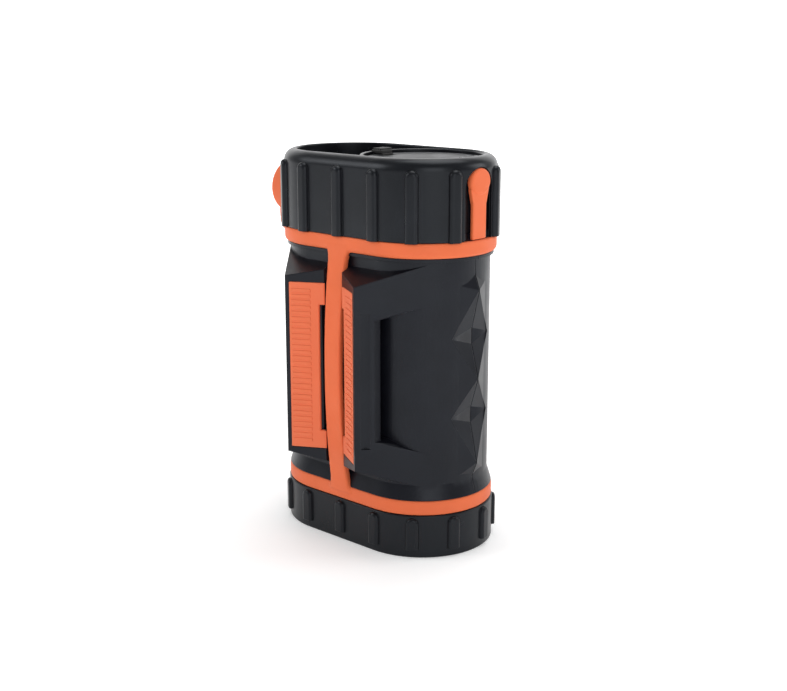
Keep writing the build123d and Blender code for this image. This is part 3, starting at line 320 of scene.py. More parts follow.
def make_materials():
    """Every finish of the pack, by the record's slot."""
    tints = bpy.context.scene.jump_colours
    made = {
        # Satin moulded ABS: soft broad highlights along the rim and ribs.
        "cap_plastic": satin_abs("satin_black_abs", tints.cap),
        # Moulded PC/ABS, a little more matte, so the facets read as flat tones.
        "shell_plastic": satin_abs("satin_black_pc_abs", tints.shell, rough=(0.31, 0.40)),
        # Moulded TPE: a flat warm orange with no clear highlight.
        "harness_rubber": moulded_tpe("orange_tpe_harness", tints.harness),
        # The same rubber in a softer shade, so the fine ribs show.
        "pad_rubber": moulded_tpe("orange_tpe_pad", tints.pad),
        # Charcoal ABS: one broad, dull reflection of the sky.
        "lid_plastic": satin_abs("satin_charcoal_abs", tints.lid, rough=(0.38, 0.48)),
        # Acetal looks waxy: a dim highlight on the ridges.
        "catch_plastic": plain("black_acetal", "131314", 0.45, IOR=1.48),
        # Spark-eroded ABS: dark and dry, so the sockets stand out.
        "plate_plastic": plain("textured_black_abs", "1B1C1D", 0.55, IOR=1.53),
        # Moulded silicone: pale, soft and without glints.
        "button_silicone": plain("grey_silicone", "8A8C8E", 0.6, IOR=1.42),
        # Bright zinc plate: small sharp glints on screws and pin.
        "steel": metal("zinc_plated_steel", "B9BBBD", 0.3),
        # Drawn wire: a thin bright line along each turn.
        "spring_steel": metal("spring_steel", "A5A7AA", 0.25),
        # Turned brass: warm yellow glints in the sockets.
        "brass": metal("turned_brass", "D2A65A", 0.22),
        # Tinned copper strip: pinkish and slightly dull.
        "copper": metal("tinned_copper", "C98A66", 0.35),
        # Extruded fins: a soft grey sheen.
        "aluminium": metal("extruded_aluminium", "C9CBCE", 0.35),
        # Vacuum-metallised bowl: a near mirror, which lights up the torch.
        "reflector": metal("vacuum_metallised_reflector", "EDEDEE", 0.06, grain=1.0),
        # Solder mask: glossy green over raised tracks.
        "board": surface("green_solder_mask", {"IOR": 1.55, "Coat Weight": 0.4, "Coat Roughness": 0.15},
                         shade=(linear("0E3B1E"), linear("145229"), 2.0), rough=(0.25, 0.4, 3.0),
                         relief=board_tracks),
        # Moulded epoxy: dull black.
        "chip": plain("black_epoxy", "151515", 0.5, IOR=1.5),
        # Foil pouch: a broken grey sheen over shallow wrinkles.
        "cell_film": surface("foil_pouch_laminate", {"Metallic": 0.85},
                             shade=(linear("A7ABB0"), linear("BCC0C4"), 12.0), rough=(0.28, 0.42, 6.0),
                             relief=pouch_wrinkles),
        # Open foam: takes the light and gives nothing back.
        "foam": plain("black_cell_foam", "232323", 0.95),
        # Glass-filled nylon: dark grey and dry.
        "tray_plastic": plain("glass_filled_nylon", "2B2B2D", 0.6, IOR=1.53),
        # Silicone sheaths: a dim even sheen.
        "cable_red": plain("red_silicone_sheath", "9E1512", 0.5, IOR=1.42),
        "cable_black": plain("black_silicone_sheath", "161616", 0.5, IOR=1.42),
        # Phosphor under resin: pale yellow.
        "led": plain("phosphor_lamp", "E9D98A", 0.4),
        # Silicone seals: black and matte.
        "seal": plain("black_silicone_seal", "141414", 0.7, IOR=1.42),
        # Dark blue nylon: a dull face round the contacts.
        "socket_plastic": plain("dark_blue_nylon", "16202F", 0.5, IOR=1.53),
    }
    # Moulded polycarbonate: clear, with the bowl and lamp showing through.
    made["lens"] = surface("clear_polycarbonate", {"IOR": 1.585, "Transmission Weight": 1.0,
                                                   "Base Color": linear("F2F6F8")}, rough=(0.02, 0.06, 8.0))
    # Frosted acrylic: milky, so each light is an even dot.
    made["light_pipe"] = surface("frosted_acrylic", {"IOR": 1.49, "Transmission Weight": 0.8,
                                                     "Base Color": linear("E6EEF2")}, rough=(0.3, 0.45, 2.0))
    return made


# ---------------------------------------------------------------- mesh tools


def lap(bm, profile, spacing, closed=True, steps=40):
    """Carry an outline of (radius, height) points round two half circles joined by flats."""
    verts = [bm.verts.new((-spacing / 2, -r, z)) for r, z in profile]
    pairs = zip(verts, verts[1:] + verts[:1]) if closed else zip(verts, verts[1:])
    edges = [bm.edges.new(pair) for pair in pairs]
    for side in (1, -1):
        run = bmesh.ops.extrude_edge_only(bm, edges=edges)["geom"]
        moved = only(bmesh.types.BMVert, run)
        bmesh.ops.translate(bm, verts=moved, vec=(side * spacing, 0, 0))
        ring = [g for g in run if not isinstance(g, bmesh.types.BMFace)]
        turned = bmesh.ops.spin(bm, geom=ring, cent=(side * spacing / 2, 0, 0), axis=(0, 0, 1), angle=pi,
                                steps=steps, use_merge=False, use_duplicate=False)["geom_last"]
        edges = only(bmesh.types.BMEdge, turned)
    bmesh.ops.remove_doubles(bm, verts=bm.verts, dist=1e-4)
    bmesh.ops.dissolve_degenerate(bm, edges=bm.edges, dist=1e-4)
    bmesh.ops.recalc_face_normals(bm, faces=bm.faces)


def lathe(bm, profile, centre, axis=(0, 0, 1), start=(1, 0, 0), closed=True, steps=64):
    """Turn an outline of (radius, height along the axis) points right round an axis."""
    centre, axis, start = Vector(centre), Vector(axis), Vector(start)
    verts = [bm.verts.new(centre + start * r + axis * z) for r, z in profile]
    pairs = zip(verts, verts[1:] + verts[:1]) if closed else zip(verts, verts[1:])
    edges = [bm.edges.new(pair) for pair in pairs]
    bmesh.ops.spin(bm, geom=verts + edges, cent=centre, axis=axis, angle=2 * pi, steps=steps, use_merge=True,
                   use_duplicate=False)
    bmesh.ops.remove_doubles(bm, verts=bm.verts, dist=1e-4)
    bmesh.ops.dissolve_degenerate(bm, edges=bm.edges, dist=1e-4)
    bmesh.ops.recalc_face_normals(bm, faces=bm.faces)


def prism(bm, points, vector):
    """Close an outline of points into a face and extrude it along a vector."""
    face = bm.faces.new([bm.verts.new(p) for p in points])
    made = bmesh.ops.extrude_face_region(bm, geom=[face])["geom"]
    bmesh.ops.translate(bm, verts=only(bmesh.types.BMVert, made), vec=vector)
    bmesh.ops.recalc_face_normals(bm, faces=bm.faces)


def box(bm, low_corner, high_corner):
    """Add a box between two corners."""
    low_corner, high_corner = Vector(low_corner), Vector(high_corner)
    stretch = Matrix.Diagonal((*(high_corner - low_corner), 1))
    matrix = Matrix.Translation((low_corner + high_corner) / 2) @ stretch
    return bmesh.ops.create_cube(bm, size=1.0, matrix=matrix)["verts"]


def bevel(bm, edges, width, segments):
    """Round some edges."""
    bmesh.ops.bevel(bm, geom=edges, offset=width, offset_type="OFFSET", segments=segments, profile=0.5,
                    affect="EDGES", material=-1, clamp_overlap=True)


def round_edges(bm, width, segments=3):
    """Round every edge where two faces meet at more than 25 degrees."""
    bevel(bm, [e for e in bm.edges if len(e.link_faces) == 2 and e.calc_face_angle(0.0) > radians(25.0)],
          width, segments)


def only(kind, geom):
    """The vertices, edges or faces among what a bmesh operator returns."""
    return [g for g in geom if isinstance(g, kind)]


def cut_flat(bm, point, outward):
    """Cut away what lies beyond a plane and close the cut."""
    geom = list(bm.verts) + list(bm.edges) + list(bm.faces)
    cut = bmesh.ops.bisect_plane(bm, geom=geom, dist=1e-5, plane_co=point, plane_no=outward, clear_outer=True)
    edges = only(bmesh.types.BMEdge, cut["geom_cut"])
    bmesh.ops.holes_fill(bm, edges=edges, sides=0)
    bmesh.ops.recalc_face_normals(bm, faces=bm.faces)


def to_object(bm, name):
    """Bring a bmesh from millimetres to metres and give it an object at the origin."""
    bmesh.ops.scale(bm, vec=(MM, MM, MM), verts=bm.verts)
    mesh = bpy.data.meshes.new(name)
    bm.to_mesh(mesh)
    bm.free()
    piece = bpy.data.objects.new(name, mesh)
    bpy.context.scene.collection.objects.link(piece)
    return piece


def combine(piece, cutter, operation="DIFFERENCE"):
    """Cut one piece with another, or join it on, and remove the tool."""
    modifier = piece.modifiers.new("Combine", "BOOLEAN")
    modifier.object, modifier.operation, modifier.solver = cutter, operation, "EXACT"
    bpy.context.view_layer.update()
    mesh = bpy.data.meshes.new_from_object(piece.evaluated_get(bpy.context.evaluated_depsgraph_get()))
    piece.modifiers.clear()
    piece.data = mesh
    bpy.data.objects.remove(cutter)


def reopen(piece):
    """Take a piece's mesh back into a bmesh, in millimetres, and remove the piece."""
    bm = bmesh.new()
    bm.from_mesh(piece.data)
    bpy.data.objects.remove(piece)
    bmesh.ops.scale(bm, vec=(1 / MM, 1 / MM, 1 / MM), verts=bm.verts)
    return bm


def absorb(bm, other):
    """Copy another bmesh into this one and free it."""
    mesh = bpy.data.meshes.new("absorbed")
    other.to_mesh(mesh)
    other.free()
    bm.from_mesh(mesh)
    bpy.data.meshes.remove(mesh)


def add_block(bm, low_corner, high_corner, rounding=0.0):
    """Add a box of its own to a piece, with its edges rounded."""
    block = bmesh.new()
    box(block, low_corner, high_corner)
    if rounding:
        round_edges(block, rounding)
    absorb(bm, block)


def add_turned(bm, profile, centre, axis=(0, 0, 1), start=(1, 0, 0), closed=True, steps=64):
    """Add a turned shape of its own to a piece."""
    turned = bmesh.new()
    lathe(turned, profile, centre, axis, start, closed, steps)
    absorb(bm, turned)


def add_prism(bm, points, vector):
    """Add a prism of its own to a piece."""
    part = bmesh.new()
    prism(part, points, vector)
    absorb(bm, part)


def mirrored(bm, vector):
    """A copy of a bmesh mirrored by a scale vector."""
    copy = bm.copy()
    bmesh.ops.scale(copy, vec=vector, verts=copy.verts)
    bmesh.ops.reverse_faces(copy, faces=copy.faces)
    return copy


def finished(bm, name, body, slot, stands_for=(), smooth_angle=32.0):
    """Turn a bmesh into a finished piece on its body, in the finish of its slot."""
    piece = to_object(bm, name)
    for polygon in piece.data.polygons:
        polygon.use_smooth = True
    piece.data.set_sharp_from_angle(angle=radians(smooth_angle))
    even = piece.modifiers.new("Even normals", "WEIGHTED_NORMAL")
    even.keep_sharp = True
    piece.data.materials.append(FINISHES[slot])
    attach(piece, body)
    if stands_for:
        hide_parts(*stands_for)
    return piece


FINISHES = {}


def sizes_of(group):
    """The lengths of one group of sizes, in millimetres."""
    values = getattr(bpy.context.scene, group)
    lengths = [key for key, value in values.bl_rna.properties.items()
               if getattr(value, "unit", "") == "LENGTH"]
    return SimpleNamespace(**{key: getattr(values, key) / MM for key in lengths})


def on_lap(run, radius):
    """Matrix of a place on the housing's wall, a run along it from the front middle, with -Y pointing out."""
    half = sizes_of("jump_housing").end_spacing / 2
    side, run = (-1 if run < 0 else 1), abs(run)
    if run <= half:
        x, y, turn = run, -radius, 0.0
    elif run <= half + pi * radius:
        turn = (run - half) / radius
        x, y = half + radius * sin(turn), -radius * cos(turn)
    else:
        x, y, turn = 2 * half + pi * radius - run, radius, pi
    return Matrix.Translation((side * x, y, 0)) @ Matrix.Rotation(side * turn, 4, "Z")


def add_rib(bm, place, proud, low_z, high_z):
    """Add one moulded rib: a bar with rounded flanks and a domed top, sunk a little into the wall."""
    half, sunk = sizes_of("jump_housing").rib_width / 2, 1.2
    rib = bmesh.new()
    dome = [(half * cos(radians(a)), -proud, high_z - half + half * sin(radians(a)))
            for a in range(0, 181, 15)]
    prism(rib, [(-half, -proud, low_z), (half, -proud, low_z), *dome], (0, proud + sunk, 0))
    front = [e for e in rib.edges if all(v.co.y < 0 for v in e.verts)]
    bevel(rib, [e for e in front if max(v.co.z for v in e.verts) > low_z + 0.01], 0.9 * proud, 5)
    bmesh.ops.transform(rib, matrix=place, verts=rib.verts)
    absorb(bm, rib)


def arc_points(centre, radius, start, end, steps):
    """Points of an arc in a (radius, height) outline, from one angle to another, in degrees."""
    return [(centre[0] + radius * cos(radians(start + (end - start) * k / steps)),
             centre[1] + radius * sin(radians(start + (end - start) * k / steps))) for k in range(steps + 1)]


# ---------------------------------------------------------------- pieces


class JUMP_OT_finishes(bpy.types.Operator):
    """Make every finish and give each CAD node the one of its slot"""
    bl_idname = "jump.finishes"
    bl_label = "Finishes"

    def execute(self, context):
        FINISHES.update(make_materials())
        slots = {part["node"]: part["material_slot"] for part in frame["record"]["subparts"]}
        for name, piece in frame["nodes"].items():
            piece.data.materials.clear()
            piece.data.materials.append(FINISHES[slots[name]])
        return {"FINISHED"}


def pad_frame(side, face):
    """Matrix of a grip pad: X runs in along the slope from its corner, Y out of it, Z up."""
    slope = bpy.context.scene.jump_grips.slope
    origin = Vector((high("grip_pad_front_right").x, low("grip_pad_front_right").y, 0))
    inward = Vector((-cos(slope), sin(slope), 0))
    out = Vector((-sin(slope), -cos(slope), 0))
    basis = Matrix((inward, out, (0, 0, 1))).transposed().to_4x4()
    return Matrix.Diagonal((side, face, 1, 1)) @ Matrix.Translation(origin) @ basis


def make_pad(name, side, face):
    """One rubber pad: a slab with rounded rims, a notch for the passage and a ladder of low cross ribs."""
    sizes, across = sizes_of("jump_grips"), cos(bpy.context.scene.jump_grips.slope)
    lower, upper = low("grip_pad_front_right"), high("grip_pad_front_right")
    corner, thick, proud, rim_width = 0.1, 1.2, 0.3, 0.75
    rib_rise, rib_width, rib_rounding, end_room = 0.35, 1.5, 0.3, 5.2
    length = (upper.x - lower.x) / across + 0.35
    notch = (upper.x - sizes.notch_half) / across
    outline = [(corner, lower.z), (length, lower.z), (length, sizes.notch_low), (notch, sizes.notch_low),
               (notch, sizes.notch_high), (length, sizes.notch_high), (length, upper.z), (corner, upper.z)]
    bm = bmesh.new()
    slab = bmesh.new()
    prism(slab, [(run, -thick, z) for run, z in outline], (0, thick + proud, 0))
    bevel(slab, [e for e in slab.edges if all(v.co.y > 0 for v in e.verts)], rim_width, 4)
    absorb(bm, slab)
    count = round((upper.z - lower.z - end_room) / sizes.rib_pitch)
    first = (lower.z + upper.z) / 2 - (count - 1) / 2 * sizes.rib_pitch
    for k in range(count):
        z = first + k * sizes.rib_pitch
        bar = bmesh.new()
        box(bar, (sizes.rib_start, proud - rib_rise, z - rib_width / 2),
            (sizes.rib_end, proud + rib_rise, z + rib_width / 2))
        bevel(bar, [e for e in bar.edges if all(v.co.y > proud for v in e.verts)], rib_rounding, 2)
        absorb(bm, bar)
    bmesh.ops.transform(bm, matrix=pad_frame(side, face), verts=bm.verts)
    bmesh.ops.recalc_face_normals(bm, faces=bm.faces)
    return finished(bm, name, "housing", "pad_rubber", (name,))


def soften(piece, voxel, rounds):
    """Knit a rubber piece's overlapping shapes into one skin of even facets and ease its corners."""
    remesh = piece.modifiers.new("Skin", "REMESH")
    remesh.mode, remesh.voxel_size = "VOXEL", voxel * MM
    bpy.context.view_layer.update()
    mesh = bpy.data.meshes.new_from_object(piece.evaluated_get(bpy.context.evaluated_depsgraph_get()))
    piece.modifiers.clear()
    piece.data = mesh
    bm = reopen(piece)
    for _ in range(rounds):
        bmesh.ops.smooth_vert(bm, verts=bm.verts, factor=0.5, use_axis_x=True, use_axis_y=True,
                              use_axis_z=True)
    return bm


class JUMP_OT_pads(bpy.types.Operator):
    """Model the four ribbed rubber pads on the grip bars"""
    bl_idname = "jump.pads"
    bl_label = "Grip pads"

    def execute(self, context):
        for face_name, face in (("front", 1), ("rear", -1)):
            for side_name, side in (("right", 1), ("left", -1)):
                make_pad(f"grip_pad_{face_name}_{side_name}", side, face)
        return {"FINISHED"}


class JUMP_OT_harness(bpy.types.Operator):
    """Model the rubber harness: two bands round the housing and a bowed strap down each face"""
    bl_idname = "jump.harness"
    bl_label = "Harness"

    def execute(self, context):
        sizes, rubber = sizes_of("jump_housing"), sizes_of("jump_harness")
        inner, foot, crown = sizes.body_radius + 0.15, low("harness").z, high("harness").z
        bm = bmesh.new()
        outer, roll = sizes.body_radius + rubber.upper_proud + 0.2, 1.8
        self.band(bm, [(inner, crown - rubber.band_height)]
                  + arc_points((outer - roll, crown - rubber.band_height + roll), roll, -90, 0, 6)
                  + [(outer, crown), (inner, crown)], sizes.end_spacing)
        outer, roll = sizes.body_radius + rubber.lower_proud, 1.0
        rim = high("base_cup").z + rubber.band_height
        self.band(bm, [(inner, foot), (outer, foot)] + arc_points((outer - roll, rim - roll), roll, 0, 90, 5)
                  + [(inner, rim)], sizes.end_spacing)
        add_block(bm, (low("harness").x + 0.2, -rubber.root_half, crown - 6.8),
                  (-sizes.end_spacing / 2 - inner, rubber.root_half, crown - 3.8))
        strap = self.strap(rubber, foot + 3.8, crown - 4.2)
        absorb(bm, mirrored(strap, (1, -1, 1)))
        absorb(bm, strap)
        bm = soften(to_object(bm, "harness_blank"), 0.5, 5)
        finished(bm, "rubber_harness", "housing", "harness_rubber", ("harness",), smooth_angle=60.0)
        return {"FINISHED"}

    def band(self, bm, profile, spacing):
        """One band of a given section round the housing."""
        ring = bmesh.new()
        lap(ring, profile, spacing)
        absorb(bm, ring)

    def strap(self, rubber, start_z, end_z):
        """The front strap: a rounded section carried along an arc that bulges to the harness's front."""
        end_y, bulge_y, corner = -rubber.strap_end, low("harness").y, 0.8
        middle, half, sagitta = (start_z + end_z) / 2, (end_z - start_z) / 2, end_y - bulge_y
        radius = (half * half + sagitta * sagitta) / (2 * sagitta)
        side, thick = rubber.strap_width / 2, rubber.strap_thick
        centres = ((side - corner, thick - corner, 0), (corner - side, thick - corner, 90),
                   (corner - side, corner, 180), (side - corner, corner, 270))
        ring = [(x + corner * cos(radians(a)), y + corner * sin(radians(a)))
                for x, y, first in centres for a in range(first, first + 91, 30)]
        bm = bmesh.new()
        section = bm.faces.new([bm.verts.new((x, end_y + y, start_z)) for x, y in ring])
        bmesh.ops.spin(bm, geom=[section], cent=(0, bulge_y + radius, middle), axis=(1, 0, 0),
                       angle=-2 * asin(half / radius), steps=60, use_merge=False, use_duplicate=False)
        bmesh.ops.recalc_face_normals(bm, faces=bm.faces)
        narrow, swell, flare, flare_start = 0.96, 0.10, 0.35, 0.86
        for v in bm.verts:
            away = abs(v.co.z - middle) / half
            root = max(0.0, away - flare_start) / (1 - flare_start)
            v.co.x *= narrow + swell * away * away + flare * root * root
        return bm


class JUMP_OT_charge_cover(bpy.types.Operator):
    """Model the small dust cover: a tongue with a domed oval head and its plug"""
    bl_idname = "jump.charge_cover"
    bl_label = "Charging socket cover"

    def execute(self, context):
        rubber = sizes_of("jump_harness")
        lower, outer = low("charge_cover"), high("charge_cover").x
        half, wide, rise = rubber.tongue_half, rubber.charge_head, rubber.charge_rise
        head_z, back, tongue_back = high("charge_cover").z - rise, outer - 2.9, outer - 2.7
        bm = bmesh.new()
        add_block(bm, (tongue_back, -half, lower.z), (outer - 0.8, half, head_z), 0.5)
        neck_low, neck_high, neck_half = head_z - 9.5, head_z - 3.0, 6.2
        add_prism(bm, [(tongue_back, -half, neck_low), (tongue_back, half, neck_low),
                       (tongue_back, neck_half, neck_high), (tongue_back, -neck_half, neck_high)],
                  (1.9, 0, 0))
        head = bmesh.new()
        lathe(head, [(0, back), (wide - 0.4, back), (wide, back + 0.4), (wide, outer - 1.1),
                     (wide - 0.4, outer - 0.35), (wide - 1.1, outer - 0.05), (wide - 1.8, outer), (0, outer)],
              (0, 0, head_z), axis=(1, 0, 0), start=(0, 1, 0), closed=False)
        bmesh.ops.scale(head, vec=(1, 1, rise / wide), space=Matrix.Translation((0, 0, -head_z)),
                        verts=head.verts)
        absorb(bm, head)
        plug, root = 3.5, back + 0.3
        add_turned(bm, [(0, lower.x), (plug - 0.5, lower.x), (plug, lower.x + 0.6), (plug, root), (0, root)],
                   (0, 0, head_z), axis=(1, 0, 0), start=(0, 1, 0), closed=False)
        bm = soften(to_object(bm, "charge_blank"), 0.22, 4)
        finished(bm, "charge_dust_cover", "charge_cover", "harness_rubber", ("charge_cover",),
                 smooth_angle=60.0)
        return {"FINISHED"}


class JUMP_OT_jump_cover(bpy.types.Operator):
    """Model the large dust cover: a bowed strap with a round cup and a domed face"""
    bl_idname = "jump.jump_cover"
    bl_label = "Jump lead socket cover"

    def execute(self, context):
        rubber = sizes_of("jump_harness")
        wide, half = rubber.jump_head, rubber.root_half
        outer, base, near = low("jump_cover").x, low("jump_cover").z, high("jump_cover").x
        centre_z, skirt, floor = high("jump_cover").z - wide, outer + 8.3, outer + 3.9
        bm = bmesh.new()
        add_turned(bm, [(0, outer + 0.5), (8.0, outer + 0.35), (wide - 1.6, outer + 0.2),
                        (wide - 0.5, outer + 0.9), (wide, outer + 2.0), (wide, skirt - 0.5),
                        (wide - 0.4, skirt), (wide - 1.4, skirt), (wide - 1.7, skirt - 0.4),
                        (wide - 1.7, floor), (0, floor)],
                   (0, 0, centre_z), axis=(1, 0, 0), start=(0, 1, 0), closed=False)
        side = [(near, base), (outer + 6.5, base), (outer + 3.4, base + 0.4), (outer + 1.3, base + 1.8),
                (outer + 0.3, base + 4.4), (outer, base + 8.0), (outer + 0.1, centre_z - 7),
                (outer + 2.6, centre_z - 7), (outer + 2.7, base + 8.0), (outer + 3.0, base + 5.6),
                (outer + 4.2, base + 3.9), (outer + 6.6, base + 3.1), (near, base + 3.1)]
        add_prism(bm, [(x, -half, z) for x, z in side], (0, 2 * half, 0))
        bm = soften(to_object(bm, "jump_blank"), 0.33, 4)
        finished(bm, "jump_dust_cover", "jump_cover", "harness_rubber", ("jump_cover",), smooth_angle=60.0)
        return {"FINISHED"}


class JUMP_OT_port_lid(bpy.types.Operator):
    """Model the round lid over the ports, with its hinge knuckle and the slot for its catch"""
    bl_idname = "jump.port_lid"
    bl_label = "Port lid"

    def execute(self, context):
        lid, middle = sizes_of("jump_lid"), sizes_of("jump_housing").end_spacing / 2
        wide, top, under, half = lid.radius, lid.top, lid.under, lid.knuckle_half
        knuckle, bore, ear_far = lid.knuckle_radius, 0.6, 6.2
        bm = bmesh.new()
        lathe(bm, [(0, top - 0.25), (wide - 4.4, top - 0.25), (wide - 3.8, top), (wide - 0.8, top)]
              + arc_points((wide - 0.7, top - 0.7), 0.7, 80, 0, 4)
              + [(wide, under + 0.3), (wide - 0.3, under), (0, under)],
              (middle, 0, 0), closed=False, steps=96)
        piece = to_object(bm, "lid_blank")
        cut = bmesh.new()
        box(cut, (-3.2, -3.6, under - 1), (1.9, 3.6, top + 1))
        for near, far in ((-ear_far, -half), (half, ear_far)):
            box(cut, (lid.hinge_x - 1.6, near, under - 1), (lid.hinge_x + 1.6, far, top + 3))
        combine(piece, to_object(cut, "lid_cuts"))
        bm = reopen(piece)
        add_turned(bm, [(bore, -half), (knuckle - 0.2, -half), (knuckle, 0.2 - half), (knuckle, half - 0.2),
                        (knuckle - 0.2, half), (bore, half)],
                   (lid.hinge_x, 0, lid.hinge_z), axis=(0, 1, 0), start=(1, 0, 0), steps=32)
        add_block(bm, (lid.hinge_x - 2.1, -half, under + 0.2),
                  (lid.hinge_x - 0.5, half, lid.hinge_z - 0.2), 0.3)
        add_block(bm, (6.2, -2.5, under - 2.8), (7.4, 2.5, under + 0.1), 0.2)
        finished(bm, "port_lid_panel", "port_lid", "lid_plastic", ("port_lid",))
        return {"FINISHED"}


class JUMP_OT_lid_catch(bpy.types.Operator):
    """Model the lid's sliding catch: ridged thumb pad, neck through the lid, plate and spring seat"""
    bl_idname = "jump.lid_catch"
    bl_label = "Lid catch"

    def execute(self, context):
        lid, near, top = sizes_of("jump_lid"), low("lid_latch").x, high("lid_latch").z
        half, ridge = lid.catch_half, lid.catch_half - 0.3
        bm = bmesh.new()
        add_block(bm, (near, -half, lid.top + 0.15), (near + 5.8, half, top - 0.6), 0.5)
        for k in range(4):
            x = near + 0.6 + lid.ridge_pitch * k
            add_block(bm, (x, -ridge, top - 1.0), (x + 0.8, ridge, top), 0.25)
        add_block(bm, (-3.1, -3.4, lid.under - 0.2), (-0.3, 3.4, lid.top + 0.4), 0.2)
        add_block(bm, (-4.8, -5.0, lid.under - 1.2), (1.0, 5.0, lid.under - 0.15), 0.2)
        add_block(bm, (0.0, -2.0, lid.under - 2.8), (1.0, 2.0, lid.under - 1.0), 0.2)
        finished(bm, "lid_catch_slider", "lid_latch", "catch_plastic", ("lid_latch",))
        return {"FINISHED"}


class JUMP_OT_cap(bpy.types.Operator):
    """Model the cap: rounded rim, deep recess, collar, arched cut-outs and moulded ribs"""
    bl_idname = "jump.cap"
    bl_label = "Cap"

    def execute(self, context):
        sizes, lid = sizes_of("jump_housing"), sizes_of("jump_lid")
        foot, top, deck = low("top_cap").z, high("torch_bezel").z + 10.3, low("port_plate").z
        middle, cutout_floor = sizes.end_spacing / 2, sizes.end_spacing / 2 + sizes.cap_radius - 2.7
        cap = self.shell(sizes, foot, top, deck)
        combine(cap, self.ribs(sizes, foot, top - 4.6), "UNION")
        for side, half, height in ((1, 9.2, 166.6), (-1, 13.8, 158.7)):
            combine(cap, self.arch_cut(side, half, height, foot, cutout_floor))
        combine(cap, self.collar(lid, middle, deck), "UNION")
        combine(cap, self.well_cut(middle, deck))
        combine(cap, self.torch_cut(deck))
        combine(cap, self.notch_cut(lid))
        bm = reopen(cap)
        wall, wall_low, wall_high = 1.9, 147.5, 164.2
        add_block(bm, (cutout_floor - wall, -12, wall_low), (cutout_floor, 12, wall_high))
        add_block(bm, (-cutout_floor, -14, wall_low), (wall - cutout_floor, 14, wall_high))
        absorb(bm, self.jack_block(cutout_floor))
        ear_near, ear_far, ear_bore = 3.4, 5.6, 0.57
        for side in (-1, 1):
            near, far = sorted((side * ear_near, side * ear_far))
            add_block(bm, (lid.hinge_x, near, 177.0), (lid.hinge_x + 1.6, far, 180.0), 0.25)
            add_turned(bm, [(ear_bore, ear_near), (lid.knuckle_radius, ear_near),
                            (lid.knuckle_radius, ear_far), (ear_bore, ear_far)],
                       (lid.hinge_x, 0, lid.hinge_z), axis=(0, side, 0), start=(1, 0, 0), steps=32)
        finished(bm, "cap_moulding", "housing", "cap_plastic", ("top_cap",))
        return {"FINISHED"}

    def shell(self, sizes, foot, top, deck):
        """The cap's walls, rim and recess floor."""
        radius, recess, bore = sizes.cap_radius, sizes.recess_radius, sizes.body_radius + 0.3
        crown, foot_round, lip, corner = radius - sizes.cap_round, 0.5, 0.7, 0.8
        profile = ([(0, deck), (recess - corner, deck)]
                   + arc_points((recess - corner, deck + corner), corner, -60, 0, 3)
                   + arc_points((recess + lip, top - lip), lip, 180, 90, 4)
                   + arc_points((crown, top - sizes.cap_round), sizes.cap_round, 90, 0, 12)
                   + arc_points((radius - foot_round, foot + foot_round), foot_round, 0, -90, 3)
                   + [(bore, foot), (bore, deck - sizes.deck_thickness), (0, deck - sizes.deck_thickness)])
        bm = bmesh.new()
        lap(bm, profile, sizes.end_spacing, closed=False, steps=48)
        return to_object(bm, "cap_blank")

    def ribs(self, sizes, foot, head):
        """Three ribs in each quarter of the cap's wall and one in the middle of each face."""
        bm = bmesh.new()
        middle, half_lap = sizes.end_spacing / 2, sizes.end_spacing + pi * sizes.cap_radius
        places = [side * place for run in (0.5, 19.2, 38.2) for side in (-1, 1)
                  for place in (middle + run, half_lap - middle - run)]
        for place in places + [0.0, half_lap]:
            add_rib(bm, on_lap(place, sizes.cap_radius), sizes.cap_rib_proud, foot, head)
        return to_object(bm, "cap_ribs")

    def arch_cut(self, side, half, height, foot, cutout_floor):
        """Cutter for the arched cut-out behind a dust cover."""
        x, start = side * cutout_floor, foot - 5
        arch = [(x, half * cos(radians(a)), height + half * sin(radians(a))) for a in range(0, 181, 6)]
        bm = bmesh.new()
        prism(bm, [(x, -half, start), (x, half, start), *arch], (side * 8, 0, 0))
        return to_object(bm, "arch_cut")

    def collar(self, lid, middle, deck):
        """The collar that the port lid sits in."""
        inner, outer, shoulder, rim = lid.collar_inner, lid.collar_outer, lid.top + 0.9, 0.5
        bm = bmesh.new()
        lathe(bm, [(inner, deck - 0.3), (outer, deck - 0.3), (outer, shoulder)]
              + arc_points((outer - rim, shoulder), rim, 0, 90, 3)
              + arc_points((inner + rim, shoulder), rim, 90, 180, 3), (middle, 0, 0), steps=96)
        return to_object(bm, "collar")

    def well_cut(self, middle, deck):
        """Cutter for the window under the port plate and the socket's mouth."""
        window, jack, jack_z = 25.2, 4.25, 169.6
        bm = bmesh.new()
        lathe(bm, [(0, deck - 3), (window, deck - 3), (window, deck + 0.05), (0, deck + 0.05)],
              (middle, 0, 0), closed=False)
        cut_flat(bm, (28.0, 0, 0), (1, 0, 0))
        add_turned(bm, [(0, 44.0), (jack, 44.0), (jack, 60.0), (0, 60.0)], (0, 0, jack_z), axis=(1, 0, 0),
                   start=(0, 1, 0), closed=False)
        return to_object(bm, "well_cut")

    def torch_cut(self, deck):
        """Cutter for the torch's hole."""
        hole, torch_x = 14.0, -27.5
        bm = bmesh.new()
        lathe(bm, [(0, deck - 3), (hole, deck - 3), (hole, deck + 1), (0, deck + 1)], (torch_x, 0, 0),
              closed=False)
        return to_object(bm, "torch_cut")

    def notch_cut(self, lid):
        """Cutter for the hinge's notch in the rim and the catch's notch in the collar."""
        bm = bmesh.new()
        box(bm, (lid.hinge_x - 1.0, -3.4, 177.0), (lid.hinge_x + 1.35, 3.4, 182))
        box(bm, (-8.9, -4.7, 177.4), (-3.7, 4.7, 182))
        return to_object(bm, "notch_cut")

